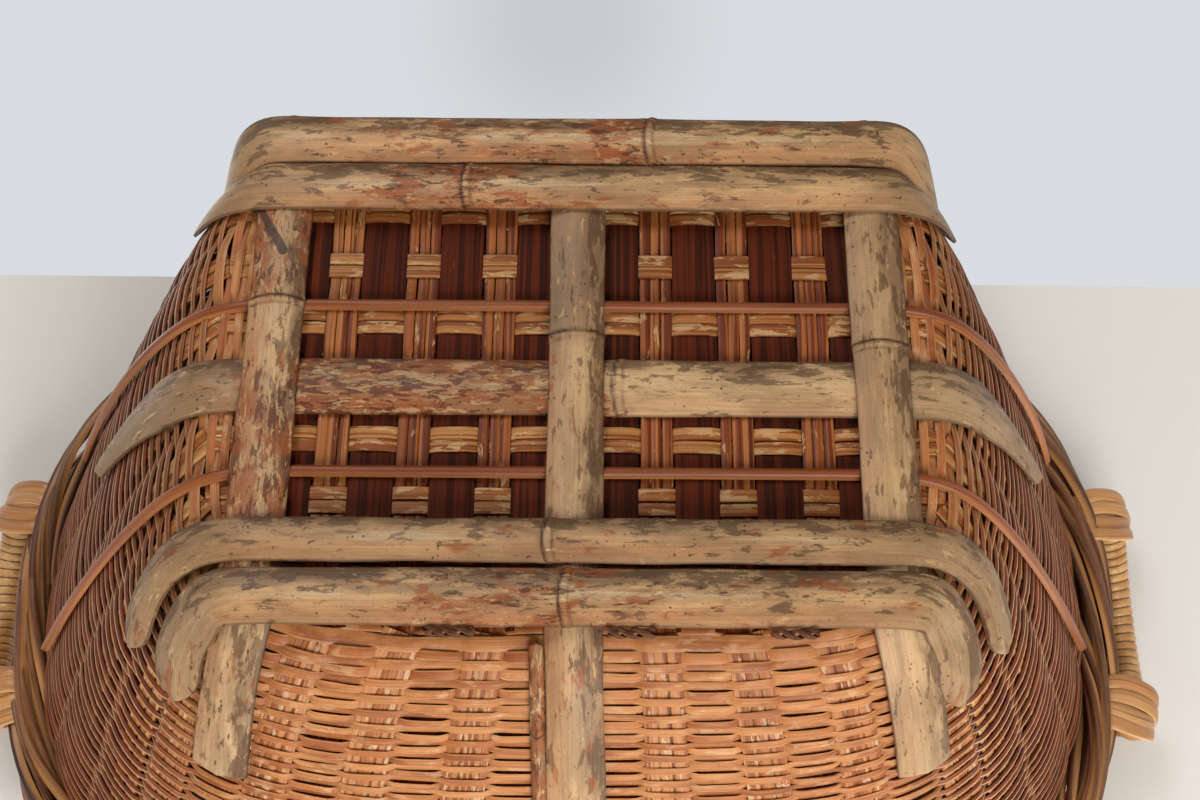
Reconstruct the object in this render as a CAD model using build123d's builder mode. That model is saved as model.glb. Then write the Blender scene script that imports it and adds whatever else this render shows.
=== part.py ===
from build123d import *
import math
import os

# A lidded wicker creel, upright: +Z up, X along its length, -Y its front.
# It stands on the bamboo laths under its woven base; all sizes are in millimetres.

# ---- driving dimensions -------------------------------------------------------------

# laths under the base, from the mat outwards: cross layer, long slats, end bands
layer_gap = 0.2                # air between one layer of laths and the next
cross_layer = 2.5              # thickness of the middle band and the thin strips
slat_layer = 2.7               # thickness of the long slats
band_layer = 2.9               # thickness of the end bands

# woven body: the base is a rounded rectangle set towards the back, the border an oval
base_half_width = 124.0
base_shift = -5.0              # the base sits a little off the border's centre in X
base_wide_y = 56.5             # where the base is widest
base_front_y = -43.5
base_back_y = 148.5
base_square = 5.0              # superellipse exponent of the base outline
border_half_width = 203.0
border_wide_y = 14.5
border_front_y = -139.5
border_back_y = 152.5
border_square_front = 2.6      # exponents of the border outline, front and back half
border_square_back = 2.3
flare_power = 0.7              # how quickly the wall leaves the base
wall_rise = 117.4              # from the mat up to the border's lower edge
wall_thickness = 3.2
border_band = 24.0             # height of the upright part of the wall behind the border

# base mat
stake_pitch = 13.6
dark_stake_width = 14.4
light_strip_width = 3.8
light_strips = 3
stake_gap = 0.3
stake_thickness = 1.6
cross_pitch = 21.8
cross_strip_width = 4.8
cross_first_y = -23.2

# laths under the base: centre, width and how high each leg climbs the wall
slat_inset = 20.0              # from the base's side to an outer slat's middle
slat_spacing = base_half_width - slat_inset
slat_splay = 11.0              # how far the outer slats spread on the way up the wall
centre_slat_splay = -2.5
outer_slat_width = 19.5
centre_slat_width = 19.0
outer_slat_rise = 50.0
side_strip_width = 4.6
middle_band_y = 43.2
middle_band_width = 20.5
middle_band_rise = 72.0
back_outer_y = 139.4
back_outer_width = 19.0
back_inner_y = 119.8
back_inner_width = 18.5
back_inner_rise = 32.0
front_inner_y = -14.2
front_inner_width = 14.5
front_inner_rise = 44.0
front_outer_y = -33.4
front_outer_width = 19.0
front_outer_rise = 40.0
front_fan = 18.0               # how far the front bands turn forward on the side walls
thin_strip_width = 3.6
thin_strip_rise = 116.0
thin_back_y = 74.8
thin_back_fan = 12.0
thin_front_y = 12.0
thin_front_fan = 28.0
turn_in = 9.0                  # how far inside the base's edge a lath starts to turn up
lath_reach = base_half_width - turn_in
# the back outer band's bent ends: steps outwards and up, and the lean in degrees
corner_leg = ((4.0, 0.8, 22.0), (8.5, 4.0, 48.0), (11.5, 9.0, 66.0), (13.0, 14.0, 74.0))
sharp_turn = 0.5               # cosine under which a lath's turn into the wall is sharp
leg_clearance = 5.4            # least distance in plan from a lath's foot to its leg
wall_gap = 0.7                 # air between a bent lath and the weave
leg_shares = (0.0, 0.03, 0.08, 0.17, 0.3, 0.5, 0.75, 1.0)
tip_width = 5.0                # width left at the tapered tips of the cross layer
tie_radius = 1.8
tie_length = 15.0
tie_places = (-75.0, -23.0, 34.0)

# border and rim
strand_size = 7.2
strand_gap = 0.3
rim_hoop_height = 13.0
rim_hoop_thickness = 2.6
rim_cap_thickness = 2.0
fit_gap = 0.3                  # air between soft or curved neighbours

# ear handles
handle_centre_y = 6.5
handle_half_length = 45.0
handle_core_radius = 4.6
handle_wrap_thickness = 1.9
handle_reach_right = 12.0      # how far each bar stands out from its two ends
handle_reach_left = 8.0
handle_lift = 30.0
handle_seat = 8.6              # from the border's face to the bar's axis at its ends
lashing_thickness = 1.8
lashing_length = 17.0
lashing_start = 0.02           # share of the bar left bare beyond each lashing

# lid
lid_hoop_height = 8.0
lid_hoop_thickness = 9.0
lid_overhang = 3.0
lid_panel_thickness = 3.0
lid_panel_lift = 2.0
batten_width = 18.0
batten_thickness = 2.4
batten_spacing = 92.0
hole_length = 78.0
hole_width = 46.0
hole_y = -22.0
hole_frame_width = 7.0
hole_frame_thickness = 2.0

# lid hinge
rod_radius = 3.0
rod_length = 138.0
running_gap = 0.08
loop_wall = 2.1
loop_width = 8.0
loop_spacing = 40.0
loop_tab_reach = 13.0
loop_tab_thickness = 2.0
loop_web = 3.0                 # thickness of the part that rises from ring to tab
saddle_wall = 1.9
saddle_width = 8.0
saddle_spacing = 61.0

# latch
stalk_radius = 2.0
stalk_length = 18.6            # holds the toggle clear of the raised bail
toggle_length = 19.0
toggle_width = 7.0
toggle_depth = 6.5
bail_radius = 1.5
bail_half_width = 8.0
bail_drop = 35.0
bail_height = 139.0
eye_wall = 1.7
eye_width = 3.0
pin_overrun = 2.5               # how far the bail's pins pass their eyes
eye_plate_height = 10.0

# ---- values that follow from them ---------------------------------------------------

stack = cross_layer + slat_layer + band_layer + 3 * layer_gap
mat_z = stack                                   # underside of the woven mat
border_z = mat_z + wall_rise                    # lower edge of the border
wall_top = border_z + border_band
cap_z = wall_top + layer_gap
lid_z = cap_z + rim_cap_thickness + fit_gap     # underside of the lid hoop
lid_top = lid_z + lid_hoop_height
handle_wrap_radius = handle_core_radius + running_gap + handle_wrap_thickness

slat_floor = cross_layer + 2 * layer_gap        # inner face of the slats, below the mat
band_floor = slat_floor + slat_layer + layer_gap


def mix(low, high, share):
    """Straight blend from low to high."""
    return low + (high - low) * share


def shape_at(z, side=0.0, drop=0.0):
    """The body's outline at height z: its middle, half-width, depths and exponents.

    side moves the outline outwards, drop lowers the level that the wall springs from.
    The outline is two superellipse halves, front and back, that share their widest line.
    """
    foot = mat_z - drop
    share = min(1.0, max(0.0, (z - foot) / (border_z - foot)))
    flare = share**flare_power
    middle = (mix(base_shift, 0.0, flare), mix(base_wide_y, border_wide_y, flare))
    half_width = mix(base_half_width, border_half_width, flare) + side
    front = middle[1] - mix(base_front_y, border_front_y, flare) + side
    back = mix(base_back_y, border_back_y, flare) - middle[1] + side
    square_front = 1 / mix(1 / base_square, 1 / border_square_front, flare)
    square_back = 1 / mix(1 / base_square, 1 / border_square_back, flare)
    return middle, half_width, (front, square_front), (back, square_back)


def outline(z, side=0.0, drop=0.0, count=36):
    """Points of the body's outline at height z, evenly spaced in angle."""
    middle, half_width, front, back = shape_at(z, side, drop)
    points = []
    for step in range(count):
        angle = 2 * math.pi * step / count
        c, s = math.cos(angle), math.sin(angle)
        depth, square = back if s > 0 else front
        reach = (abs(c / half_width) ** square + abs(s / depth) ** square) ** (-1 / square)
        points.append((middle[0] + reach * c, middle[1] + reach * s))
    return points


def fullness(x, y, z, side=0.0):
    """Under 1 inside the body's outline at height z, 1 on it, over 1 outside."""
    middle, half_width, front, back = shape_at(z, side)
    depth, square = back if y > middle[1] else front
    return abs((x - middle[0]) / half_width) ** square + abs((y - middle[1]) / depth) ** square


def edge_along(start, direction, z, side=0.0):
    """Where the line from start, inside the outline, first leaves it at height z."""
    low, high = 0.0, 4 * border_half_width
    for _ in range(48):
        middle = (low + high) / 2
        x, y = start[0] + direction[0] * middle, start[1] + direction[1] * middle
        if fullness(x, y, z, side) < 1:
            low = middle
        else:
            high = middle
    return start[0] + direction[0] * low, start[1] + direction[1] * low


def edge_y(x, z, side=0.0, sign=-1):
    """Where the outline at height z crosses the line x, at the front or the back (sign 1)."""
    return edge_along((x, border_wide_y), (0, sign), z, side)[1]


def edge_x(y, z, side=0.0):
    """Where the outline at height z crosses the line y on the right."""
    return edge_along((0, y), (1, 0), z, side)[0]


def outline_face(z, side=0.0, drop=0.0):
    """The flat face inside the body's outline at height z."""
    with BuildSketch(Plane.XY.offset(z)) as face:
        with BuildLine():
            Spline(*outline(z, side, drop), periodic=True)
        make_face()
    return face.sketch


def basket_form(side, drop):
    """The body as one closed form, side mm fuller and drop mm deeper than the weave."""
    foot = mat_z - drop
    shares = (0.0, 0.012, 0.04, 0.1, 0.2, 0.35, 0.55, 0.77, 1.0)
    with BuildPart() as form:
        for share in shares:
            z = mix(foot, border_z, share)
            add(outline_face(z, side * share**flare_power, drop))
        loft(ruled=True)
        top = form.faces().sort_by(Axis.Z)[-1]
        extrude(top, amount=border_band)
    return form.part


def ring(z_low, height, inner, outer):
    """A closed hoop that follows the border's outline between two offsets."""
    with BuildPart() as hoop:
        add(outline_face(z_low, outer))
        extrude(amount=height)
        add(outline_face(z_low, inner))
        extrude(amount=height, mode=Mode.SUBTRACT)
    return hoop.part


def keep(part, name):
    """Label a finished piece and write it to its own file."""
    part.label = name
    export_step(part, f"parts/{name}.step")


os.makedirs("parts", exist_ok=True)

# ---- wall and base mat --------------------------------------------------------------

weave_outside = basket_form(0.0, 0.0)
weave_inside = basket_form(-wall_thickness, -wall_thickness)

with BuildPart() as wall_weave:
    add(weave_outside)
    add(weave_inside, mode=Mode.SUBTRACT)
    add(outline_face(mat_z))
    extrude(amount=2 * stake_thickness, mode=Mode.SUBTRACT)
keep(wall_weave.part, "wall_weave")

stake_count = math.ceil(base_half_width / stake_pitch)


def stake_strips(offset, width, strips, name):
    """Every second stake of the mat, each made of one or more flat strips."""
    strip = (width - (strips - 1) * stake_gap) / strips
    with BuildPart() as stakes:
        for index in range(-stake_count, stake_count + 1):
            if (index + offset) % 2:
                continue
            middle = base_shift + index * stake_pitch
            for place in range(strips):
                x = middle - width / 2 + strip / 2 + place * (strip + stake_gap)
                outer_x = x + math.copysign(strip / 2, x - base_shift)
                if abs(outer_x - base_shift) > base_half_width - fit_gap:
                    continue
                front = edge_y(outer_x, mat_z, -fit_gap)
                back = edge_y(outer_x, mat_z, -fit_gap, 1)
                with BuildSketch(Plane.XY.offset(mat_z)):
                    with Locations((x, (front + back) / 2)):
                        Rectangle(strip, back - front)
                extrude(amount=stake_thickness)
    keep(stakes.part, name)


light_width = light_strips * light_strip_width + (light_strips - 1) * stake_gap
stake_strips(1, 2 * stake_pitch - light_width - 2 * stake_gap, 1, "base_stakes_dark")
stake_strips(0, light_width, light_strips, "base_stakes_light")

cross_count = math.floor((base_back_y - cross_first_y) / cross_pitch)
with BuildPart() as cross_stakes:
    for index in range(cross_count + 1):
        for side in (-1, 1):
            y = cross_first_y + index * cross_pitch
            y += side * (cross_strip_width + stake_gap) / 2
            outer_y = y + math.copysign(cross_strip_width / 2, y - base_wide_y)
            reach = edge_along((base_shift, outer_y), (1, 0), mat_z, -fit_gap)[0] - base_shift
            with BuildSketch(Plane.XY.offset(mat_z + stake_thickness)):
                with Locations((base_shift, y)):
                    Rectangle(2 * reach, cross_strip_width)
            extrude(amount=stake_thickness)
keep(cross_stakes.part, "base_cross_stakes")

# ---- laths and strips under the base and up the wall --------------------------------


def wall_normal(x, y, z):
    """Outward unit normal of the weave at a point on it."""
    step = 0.05
    slope_x = fullness(x + step, y, z) - fullness(x - step, y, z)
    slope_y = fullness(x, y + step, z) - fullness(x, y - step, z)
    slope_z = fullness(x, y, z + step) - fullness(x, y, z - step)
    return Vector(slope_x, slope_y, slope_z).normalized()


def leg_points(start, direction, rise, stand_off):
    """Points up the wall from start on the base, each stand_off mm clear of the weave."""
    points = []
    for share in leg_shares:
        z = mix(mat_z, rise, share)
        x, y = edge_along((start[0], start[1]), direction, z)
        if math.hypot(x - start[0], y - start[1]) < leg_clearance:
            continue
        normal = wall_normal(x, y, z)
        points.append((Vector(x, y, z) + normal * stand_off, normal))
    return points


def bent_strip(points, widths, thickness, name):
    """A flat strip bent through points, each with the normal of the surface it lies on."""
    count = len(points)
    with BuildPart() as strip:
        for index, (place, normal) in enumerate(points):
            run = points[min(index + 1, count - 1)][0] - points[max(index - 1, 0)][0]
            across = run.cross(normal).normalized()
            with BuildSketch(Plane(origin=place, x_dir=across, z_dir=across.cross(normal))):
                with Locations((0, thickness / 2)):
                    Rectangle(widths[index], thickness)
        loft(ruled=True)
    keep(strip.part, name)


def lath(name, left, right, widths, floor, thickness):
    """A strip across the base that climbs the wall at both ends.

    left and right give each end's start on the base, its direction in plan and its rise.
    Between stations turn_in inside the two starts it is straight, and its face is flat.
    A sharp turn into the wall has a station with the half-way normal. An end whose start
    is too near the mat's edge stays flat.
    widths are those at the two tips and under the base, and floor is the gap to the mat.
    """
    down = Vector(0, 0, -1)
    feet = [Vector(end[0][0], end[0][1], mat_z - floor) for end in (left, right)]
    along = (feet[1] - feet[0]).normalized()
    rows, row_widths = [], []
    for end, (start, direction, rise) in enumerate((left, right)):
        inward = along * turn_in if end == 0 else along * -turn_in
        leg = [(feet[end] + inward, down), (feet[end], down)]
        climb = leg_points(start, direction, rise, wall_gap)
        if climb and down.dot(climb[0][1]) < sharp_turn:
            bend = (feet[end] + climb[0][0]) / 2
            leg.append((bend, (down + climb[0][1]).normalized()))
        spread = [widths[1]] * len(leg)
        spread += [mix(widths[1], widths[0], i / (len(climb) - 1)) for i in range(len(climb))]
        leg += climb
        if end == 0:
            leg, spread = leg[::-1], spread[::-1]
        rows += leg
        row_widths += spread
    bent_strip(rows, row_widths, thickness, name)


def cross_lath(name, y, width, tip, rise, fan, floor, thickness):
    """A lath across the base; fan is how far each leg turns forward on the side wall."""
    run = edge_x(y, rise) - lath_reach
    ends = [((base_shift + s * lath_reach, y), (s, -fan / run), rise) for s in (-1, 1)]
    lath(name, ends[0], ends[1], (tip, width), floor, thickness)


def corner_lath(name, y, width, floor, thickness):
    """A lath across the base whose ends bend up freely past the mat's rounded corners."""
    rows = []
    for s in (-1, 1):
        foot = Vector(base_shift + s * lath_reach, y, mat_z - floor)
        leg = [(foot, Vector(0, 0, -1))]
        for outwards, up, lean in corner_leg:
            turned = math.radians(lean)
            normal = Vector(s * math.sin(turned), 0, -math.cos(turned))
            leg.append((foot + Vector(s * outwards, 0, up), normal))
        rows += leg if s > 0 else leg[::-1]
    bent_strip(rows, [width] * len(rows), thickness, name)


corner_lath("end_band_back_outer", back_outer_y, back_outer_width, band_floor, band_layer)
cross_lath("end_band_back_inner", back_inner_y, back_inner_width, back_inner_width,
           back_inner_rise, 0.0, band_floor, band_layer)
cross_lath("end_band_front_inner", front_inner_y, front_inner_width, front_inner_width,
           front_inner_rise, front_fan, band_floor, band_layer)
cross_lath("end_band_front_outer", front_outer_y, front_outer_width, front_outer_width,
           front_outer_rise, front_fan, band_floor, band_layer)
cross_lath("cross_band_middle", middle_band_y, middle_band_width, tip_width,
           middle_band_rise, 0.0, layer_gap, cross_layer)
cross_lath("rattan_strip_back", thin_back_y, thin_strip_width, thin_strip_width,
           thin_strip_rise, thin_back_fan, layer_gap, cross_layer)
cross_lath("rattan_strip_front", thin_front_y, thin_strip_width, thin_strip_width,
           thin_strip_rise, thin_front_fan, layer_gap, cross_layer)


def long_slat(name, x, splay, width, rise):
    """A slat from the front wall, under the base, to the back wall."""
    slope = splay / (base_front_y - edge_y(x, rise))
    front = ((x, base_front_y + turn_in), (slope, -1), rise)
    back = ((x, base_back_y - turn_in), (0, 1), rise)
    lath(name, front, back, (width, width), slat_floor, slat_layer)


full_rise = border_z - fit_gap
long_slat("long_slat_right", base_shift + slat_spacing, slat_splay,
          outer_slat_width, outer_slat_rise)
long_slat("long_slat_left", base_shift - slat_spacing, -slat_splay,
          outer_slat_width, outer_slat_rise)
long_slat("long_slat_centre", base_shift, centre_slat_splay, centre_slat_width, full_rise)

side_x = base_shift + (centre_slat_width + side_strip_width) / 2 + fit_gap
side_leg = leg_points((side_x, base_front_y + turn_in), (0, -1), full_rise, wall_gap)
bent_strip(side_leg[2:], [side_strip_width] * len(side_leg[2:]), slat_layer,
           "centre_side_strip")

tie_y = front_outer_y - front_outer_width / 2 - tie_radius - fit_gap
with BuildPart() as slat_ties:
    for x in tie_places:
        tie_plane = Plane(origin=(x - tie_length / 2, tie_y, tie_radius + fit_gap), z_dir=(1, 0, 0))
        with BuildSketch(tie_plane):
            Circle(tie_radius)
        extrude(amount=tie_length)
keep(slat_ties.part, "slat_ties")

# ---- border strands and rim ---------------------------------------------------------

strand_pitch = strand_size + strand_gap
first_row = fit_gap
second_row = first_row + strand_pitch
strand_places = {
    "border_strand_low": (border_z, first_row),
    "border_strand_mid": (border_z + strand_pitch, first_row),
    "border_strand_high": (border_z + 2 * strand_pitch, first_row),
    "border_strand_outer_low": (border_z + strand_pitch / 2, second_row),
    "border_strand_outer_high": (border_z + 3 * strand_pitch / 2, second_row),
}
for strand_name, (z, inside) in strand_places.items():
    keep(ring(z, strand_size, inside, inside + strand_size), strand_name)
border_top = border_z + 2 * strand_pitch + strand_size
border_outside = second_row + strand_size

hoop_outer = -wall_thickness - fit_gap
keep(ring(wall_top - rim_hoop_height, rim_hoop_height, hoop_outer - rim_hoop_thickness,
          hoop_outer), "rim_hoop_inner")
keep(ring(cap_z, rim_cap_thickness, hoop_outer - rim_hoop_thickness, 0.0), "rim_cap")

# ---- ear handles --------------------------------------------------------------------


def handle(side, reach, name):
    """One wrapped ear handle: a bent bar, its wrapping and the two lashings at its ends."""
    bar_z = border_z + strand_pitch + strand_size / 2
    ends = []
    for s in (-1, 1):
        end_y = handle_centre_y + s * handle_half_length
        seat = edge_x(end_y, border_z, border_outside)
        ends.append(Vector(side * (seat + handle_seat), end_y, bar_z))
    middle = (ends[0] + ends[1]) * 0.5
    crown = middle + Vector(side * reach, 0, handle_lift)
    with BuildPart() as core:
        with BuildLine() as path:
            ThreePointArc(ends[0], crown, ends[1])
        with BuildSketch(Plane(origin=path.line @ 0, z_dir=path.line % 0)):
            Circle(handle_core_radius)
        sweep()
    keep(core.part, f"{name}_core")
    with BuildPart() as wrap:
        with BuildLine() as path:
            ThreePointArc(ends[0], crown, ends[1])
        with BuildSketch(Plane(origin=path.line @ 0, z_dir=path.line % 0)):
            Circle(handle_wrap_radius)
            Circle(handle_core_radius + running_gap, mode=Mode.SUBTRACT)
        sweep()
    keep(wrap.part, f"{name}_wrap")
    arc = ThreePointArc(ends[0], crown, ends[1])
    share = lashing_length / arc.length
    with BuildPart() as lashings:
        for start in (lashing_start, 1 - lashing_start - share):
            stop = start + share
            with BuildLine() as path:
                ThreePointArc(arc @ start, arc @ ((start + stop) / 2), arc @ stop)
            with BuildSketch(Plane(origin=path.line @ 0, z_dir=path.line % 0)):
                Circle(handle_wrap_radius + layer_gap + lashing_thickness)
                Circle(handle_wrap_radius + layer_gap, mode=Mode.SUBTRACT)
            sweep()
    keep(lashings.part, f"{name}_lashings")


handle(1, handle_reach_right, "handle_right")
handle(-1, handle_reach_left, "handle_left")

# ---- lid ----------------------------------------------------------------------------

hoop_inside = lid_overhang - lid_hoop_thickness
keep(ring(lid_z, lid_hoop_height, hoop_inside, lid_overhang), "lid_hoop")

panel_z = lid_z + lid_panel_lift
with BuildPart() as lid_panel:
    add(outline_face(panel_z, hoop_inside - fit_gap))
    extrude(amount=lid_panel_thickness)
    with BuildSketch(Plane.XY.offset(panel_z)):
        with Locations((0, hole_y)):
            Rectangle(hole_length, hole_width)
    extrude(amount=lid_panel_thickness, mode=Mode.SUBTRACT)
keep(lid_panel.part, "lid_weave")

with BuildPart() as hole_frame:
    with BuildSketch(Plane.XY.offset(panel_z + lid_panel_thickness + layer_gap)):
        with Locations((0, hole_y)):
            Rectangle(hole_length + 2 * hole_frame_width, hole_width + 2 * hole_frame_width)
            Rectangle(hole_length, hole_width, mode=Mode.SUBTRACT)
    extrude(amount=hole_frame_thickness)
keep(hole_frame.part, "lid_hole_frame")

with BuildPart() as battens:
    for side in (-1, 1):
        x = side * batten_spacing
        front_y = edge_y(x, border_z, lid_overhang)
        back_y = edge_y(x, border_z, lid_overhang, 1)
        with BuildSketch(Plane.XY.offset(lid_top + layer_gap)):
            with Locations((x, (front_y + back_y) / 2)):
                Rectangle(batten_width, back_y - front_y)
        extrude(amount=batten_thickness)
keep(battens.part, "lid_battens")

# ---- lid hinge ----------------------------------------------------------------------

loop_radius = rod_radius + running_gap + loop_wall
rod_y = border_back_y + lid_overhang + loop_radius + fit_gap
rod_z = border_top + loop_radius + fit_gap
print("hinge axis y, z:", round(rod_y, 3), round(rod_z, 3))

rod_plane = Plane(origin=(-rod_length / 2, rod_y, rod_z), z_dir=(1, 0, 0))
with BuildPart() as hinge_rod:
    with BuildSketch(rod_plane):
        Circle(rod_radius)
    extrude(amount=rod_length)
keep(hinge_rod.part, "hinge_rod")


def cross_plane(x):
    """Plane square to X at x, its own x along Y and its own y along Z."""
    return Plane(origin=(x, 0, 0), x_dir=(0, 1, 0), z_dir=(1, 0, 0))


tab_low = max(lid_top + layer_gap, rod_z + rod_radius + running_gap)
tab_top = tab_low + loop_tab_thickness
with BuildPart() as hinge_loops:
    for side in (-1, 1):
        with BuildSketch(cross_plane(side * loop_spacing - loop_width / 2)):
            with Locations((rod_y, rod_z)):
                Circle(loop_radius)
            with Locations((rod_y - loop_tab_reach / 2, tab_low + loop_tab_thickness / 2)):
                Rectangle(loop_tab_reach, loop_tab_thickness)
            with Locations((rod_y - loop_radius + loop_web / 2, (rod_z + tab_top) / 2)):
                Rectangle(loop_web, tab_top - rod_z)
            with Locations((rod_y, rod_z)):
                Circle(rod_radius + running_gap, mode=Mode.SUBTRACT)
        extrude(amount=loop_width)
keep(hinge_loops.part, "lid_hinge_loops")

saddle_radius = rod_radius + running_gap + saddle_wall
with BuildPart() as saddles:
    for x in (-saddle_spacing, 0.0, saddle_spacing):
        with BuildSketch(cross_plane(x - saddle_width / 2)):
            with Locations((rod_y, rod_z)):
                Circle(saddle_radius)
            foot_height = rod_z - border_top - fit_gap
            with Locations((rod_y, border_top + fit_gap + foot_height / 2)):
                Rectangle(2 * saddle_radius - saddle_wall, foot_height)
            with Locations((rod_y, rod_z)):
                Circle(rod_radius + running_gap, mode=Mode.SUBTRACT)
        extrude(amount=saddle_width)
keep(saddles.part, "hinge_saddles")

# ---- latch --------------------------------------------------------------------------

latch_z = lid_z + lid_hoop_height / 2
lid_front = border_front_y - lid_overhang
stalk_start = lid_front - fit_gap
front_plane = Plane(origin=(0, stalk_start, latch_z), x_dir=(1, 0, 0), z_dir=(0, -1, 0))
with BuildPart() as stalk:
    with BuildSketch(front_plane):
        Circle(stalk_radius)
    extrude(amount=stalk_length + toggle_depth)
keep(stalk.part, "latch_stalk")

with BuildPart() as toggle:
    with BuildSketch(front_plane.offset(stalk_length)):
        SlotOverall(toggle_length, toggle_width, rotation=90)
        Circle(stalk_radius + running_gap, mode=Mode.SUBTRACT)
    extrude(amount=toggle_depth)
keep(toggle.part, "latch_toggle")

eye_radius = bail_radius + running_gap + eye_wall
bail_y = border_front_y - border_outside - fit_gap - eye_radius
eye_x = bail_half_width + bail_radius + fit_gap + eye_width / 2
print("bail axis y, z:", round(bail_y, 3), round(bail_height, 3))
print("toggle axis z:", round(latch_z, 3), "front:", round(stalk_start - stalk_length - toggle_depth, 3))

with BuildPart() as eyes:
    for side in (-1, 1):
        with BuildSketch(cross_plane(side * eye_x - eye_width / 2)):
            with Locations((bail_y, bail_height)):
                Circle(eye_radius)
            with Locations((bail_y + eye_radius / 2, bail_height)):
                Rectangle(eye_radius, eye_plate_height)
            with Locations((bail_y, bail_height)):
                Circle(bail_radius + running_gap, mode=Mode.SUBTRACT)
        extrude(amount=eye_width)
keep(eyes.part, "latch_eyes")

pin_x = eye_x + eye_width / 2 + pin_overrun
bend = 3 * bail_radius
pin_bend = bail_radius + running_gap
with BuildPart() as bail:
    with BuildLine() as bail_path:
        FilletPolyline(
            (-pin_x, bail_y, bail_height),
            (-bail_half_width, bail_y, bail_height),
            (-bail_half_width, bail_y, bail_height - bail_drop),
            (bail_half_width, bail_y, bail_height - bail_drop),
            (bail_half_width, bail_y, bail_height),
            (pin_x, bail_y, bail_height),
            radius=[pin_bend, bend, bend, pin_bend],
        )
    with BuildSketch(Plane(origin=bail_path.line @ 0, z_dir=bail_path.line % 0)):
        Circle(bail_radius)
    sweep()
keep(bail.part, "latch_bail")
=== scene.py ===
import math

import bpy
import numpy as np
from mathutils import Matrix, Vector


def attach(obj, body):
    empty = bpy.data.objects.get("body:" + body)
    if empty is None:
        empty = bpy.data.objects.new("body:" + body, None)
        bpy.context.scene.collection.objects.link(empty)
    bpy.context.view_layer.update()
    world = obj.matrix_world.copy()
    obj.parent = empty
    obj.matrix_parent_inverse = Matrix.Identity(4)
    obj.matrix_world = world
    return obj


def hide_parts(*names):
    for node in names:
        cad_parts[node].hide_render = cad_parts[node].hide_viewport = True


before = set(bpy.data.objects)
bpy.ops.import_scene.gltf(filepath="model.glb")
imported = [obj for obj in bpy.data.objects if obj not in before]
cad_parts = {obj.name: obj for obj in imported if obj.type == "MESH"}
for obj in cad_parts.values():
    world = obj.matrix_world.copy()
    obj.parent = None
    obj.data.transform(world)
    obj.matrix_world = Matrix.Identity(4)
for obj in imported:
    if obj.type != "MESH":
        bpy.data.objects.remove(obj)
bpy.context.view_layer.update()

# A lidded wicker creel, upright. Shapes are worked out in millimetres and made in metres.
MM = 0.001
UP = np.array([0.0, 0.0, 1.0])
chance = np.random.default_rng(7)

# ---- sizes of the woven body, as the solids have them -------------------------------

BASE_HALF_WIDTH = 124.0
BASE_SHIFT = -5.0
BASE_WIDE_Y = 56.5
BASE_FRONT_Y = -43.5
BASE_BACK_Y = 148.5
BASE_SQUARE = 5.0
BORDER_HALF_WIDTH = 203.0
BORDER_WIDE_Y = 14.5
BORDER_FRONT_Y = -139.5
BORDER_BACK_Y = 152.5
BORDER_SQUARE_FRONT = 2.6
BORDER_SQUARE_BACK = 2.3
FLARE_POWER = 0.7
MAT_Z = 8.7
WALL_RISE = 117.4
BORDER_Z = MAT_Z + WALL_RISE
WALL_TOP = 150.1
CAP_TOP = 152.3
LID_Z = 152.6
LID_TOP = 160.6
WALL_MIDDLE = -1.6             # from the body's outline to the middle of its weave
FRONT_DEPTH = BASE_WIDE_Y - BASE_FRONT_Y
BACK_DEPTH = BASE_BACK_Y - BASE_WIDE_Y

# ---- the weave ----------------------------------------------------------------------

STAKE_PITCH = 13.6
STAKES_EACH_WAY = 8
STAKE_THICK = 1.1
STRIP_SPACING = 4.3            # between the three strips of a light stake on the wall
PAIR_HALF = 2.6                # from the middle of a side stake's pair to each strip
WALL_DARK_WIDTH = 13.4
WALL_SIDE_WIDTH = 4.8
WALL_SPREAD = 0.35             # how much the stakes spread apart up to the border
MAT_LIGHT_SPACING = 3.75
MAT_LIGHT_WIDTH = 3.55
MAT_DARK_WIDTH = 15.2
MAT_PAIR_HALF = 2.45
MAT_CROSS_WIDTH = 4.5
MAT_CROSS_THICK = 1.0
DARK_INSET = 1.0
CROSS_FIRST_Y = -20.0
CROSS_PITCH = 22.3
CROSS_COUNT = 8
MAT_MIDDLE = 10.3
MAT_SWING = 0.6
WEAVER_ROWS = 64
BAND_ROWS = 12
WEAVER_SWING = 1.25
WEAVER_THICK = 1.0
WEAVER_COVER = 1.12            # a side weaver's width as a share of the row pitch
SPLICE_STAKES = 9              # stakes that a weaver passes before the next is spliced on
SAMPLES_PER_STAKE = 8
EDGE_ROWS = 5
EDGE_PITCH = 2.7

# ---- the laths' layers, as the solids have them --------------------------------------

CROSS_LAYER = 2.5
SLAT_LAYER = 2.7
BAND_LAYER = 2.9
LAYER_GAP = 0.2
SLAT_FLOOR = CROSS_LAYER + 2 * LAYER_GAP
BAND_FLOOR = SLAT_FLOOR + SLAT_LAYER + LAYER_GAP
TURN_IN = 9.0
LEG_GAP = 1.0
LEG_CLEAR = 5.4                # least distance in plan from a lath's foot to its leg
LATH_EDGE = 0.36               # a lath's thickness at its edges, as a share of the middle
LATH_STATIONS = 420


def mix(low, high, share):
    """Straight blend from low to high."""
    return low + (high - low) * share


def smooth(low, high, value):
    """0 below low, 1 above high, and 3t^2 - 2t^3 between them."""
    t = np.clip((value - low) / (high - low), 0, 1)
    return t * t * (3 - 2 * t)


def unit(v):
    """Vectors scaled to length 1."""
    return v / np.maximum(np.linalg.norm(v, axis=-1, keepdims=True), 1e-9)


def turn_round(count):
    """Angles evenly spaced round a circle, with their cosines and sines."""
    turn = np.linspace(0, 2 * math.pi, count, endpoint=False)
    return turn, np.cos(turn), np.sin(turn)


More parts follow.
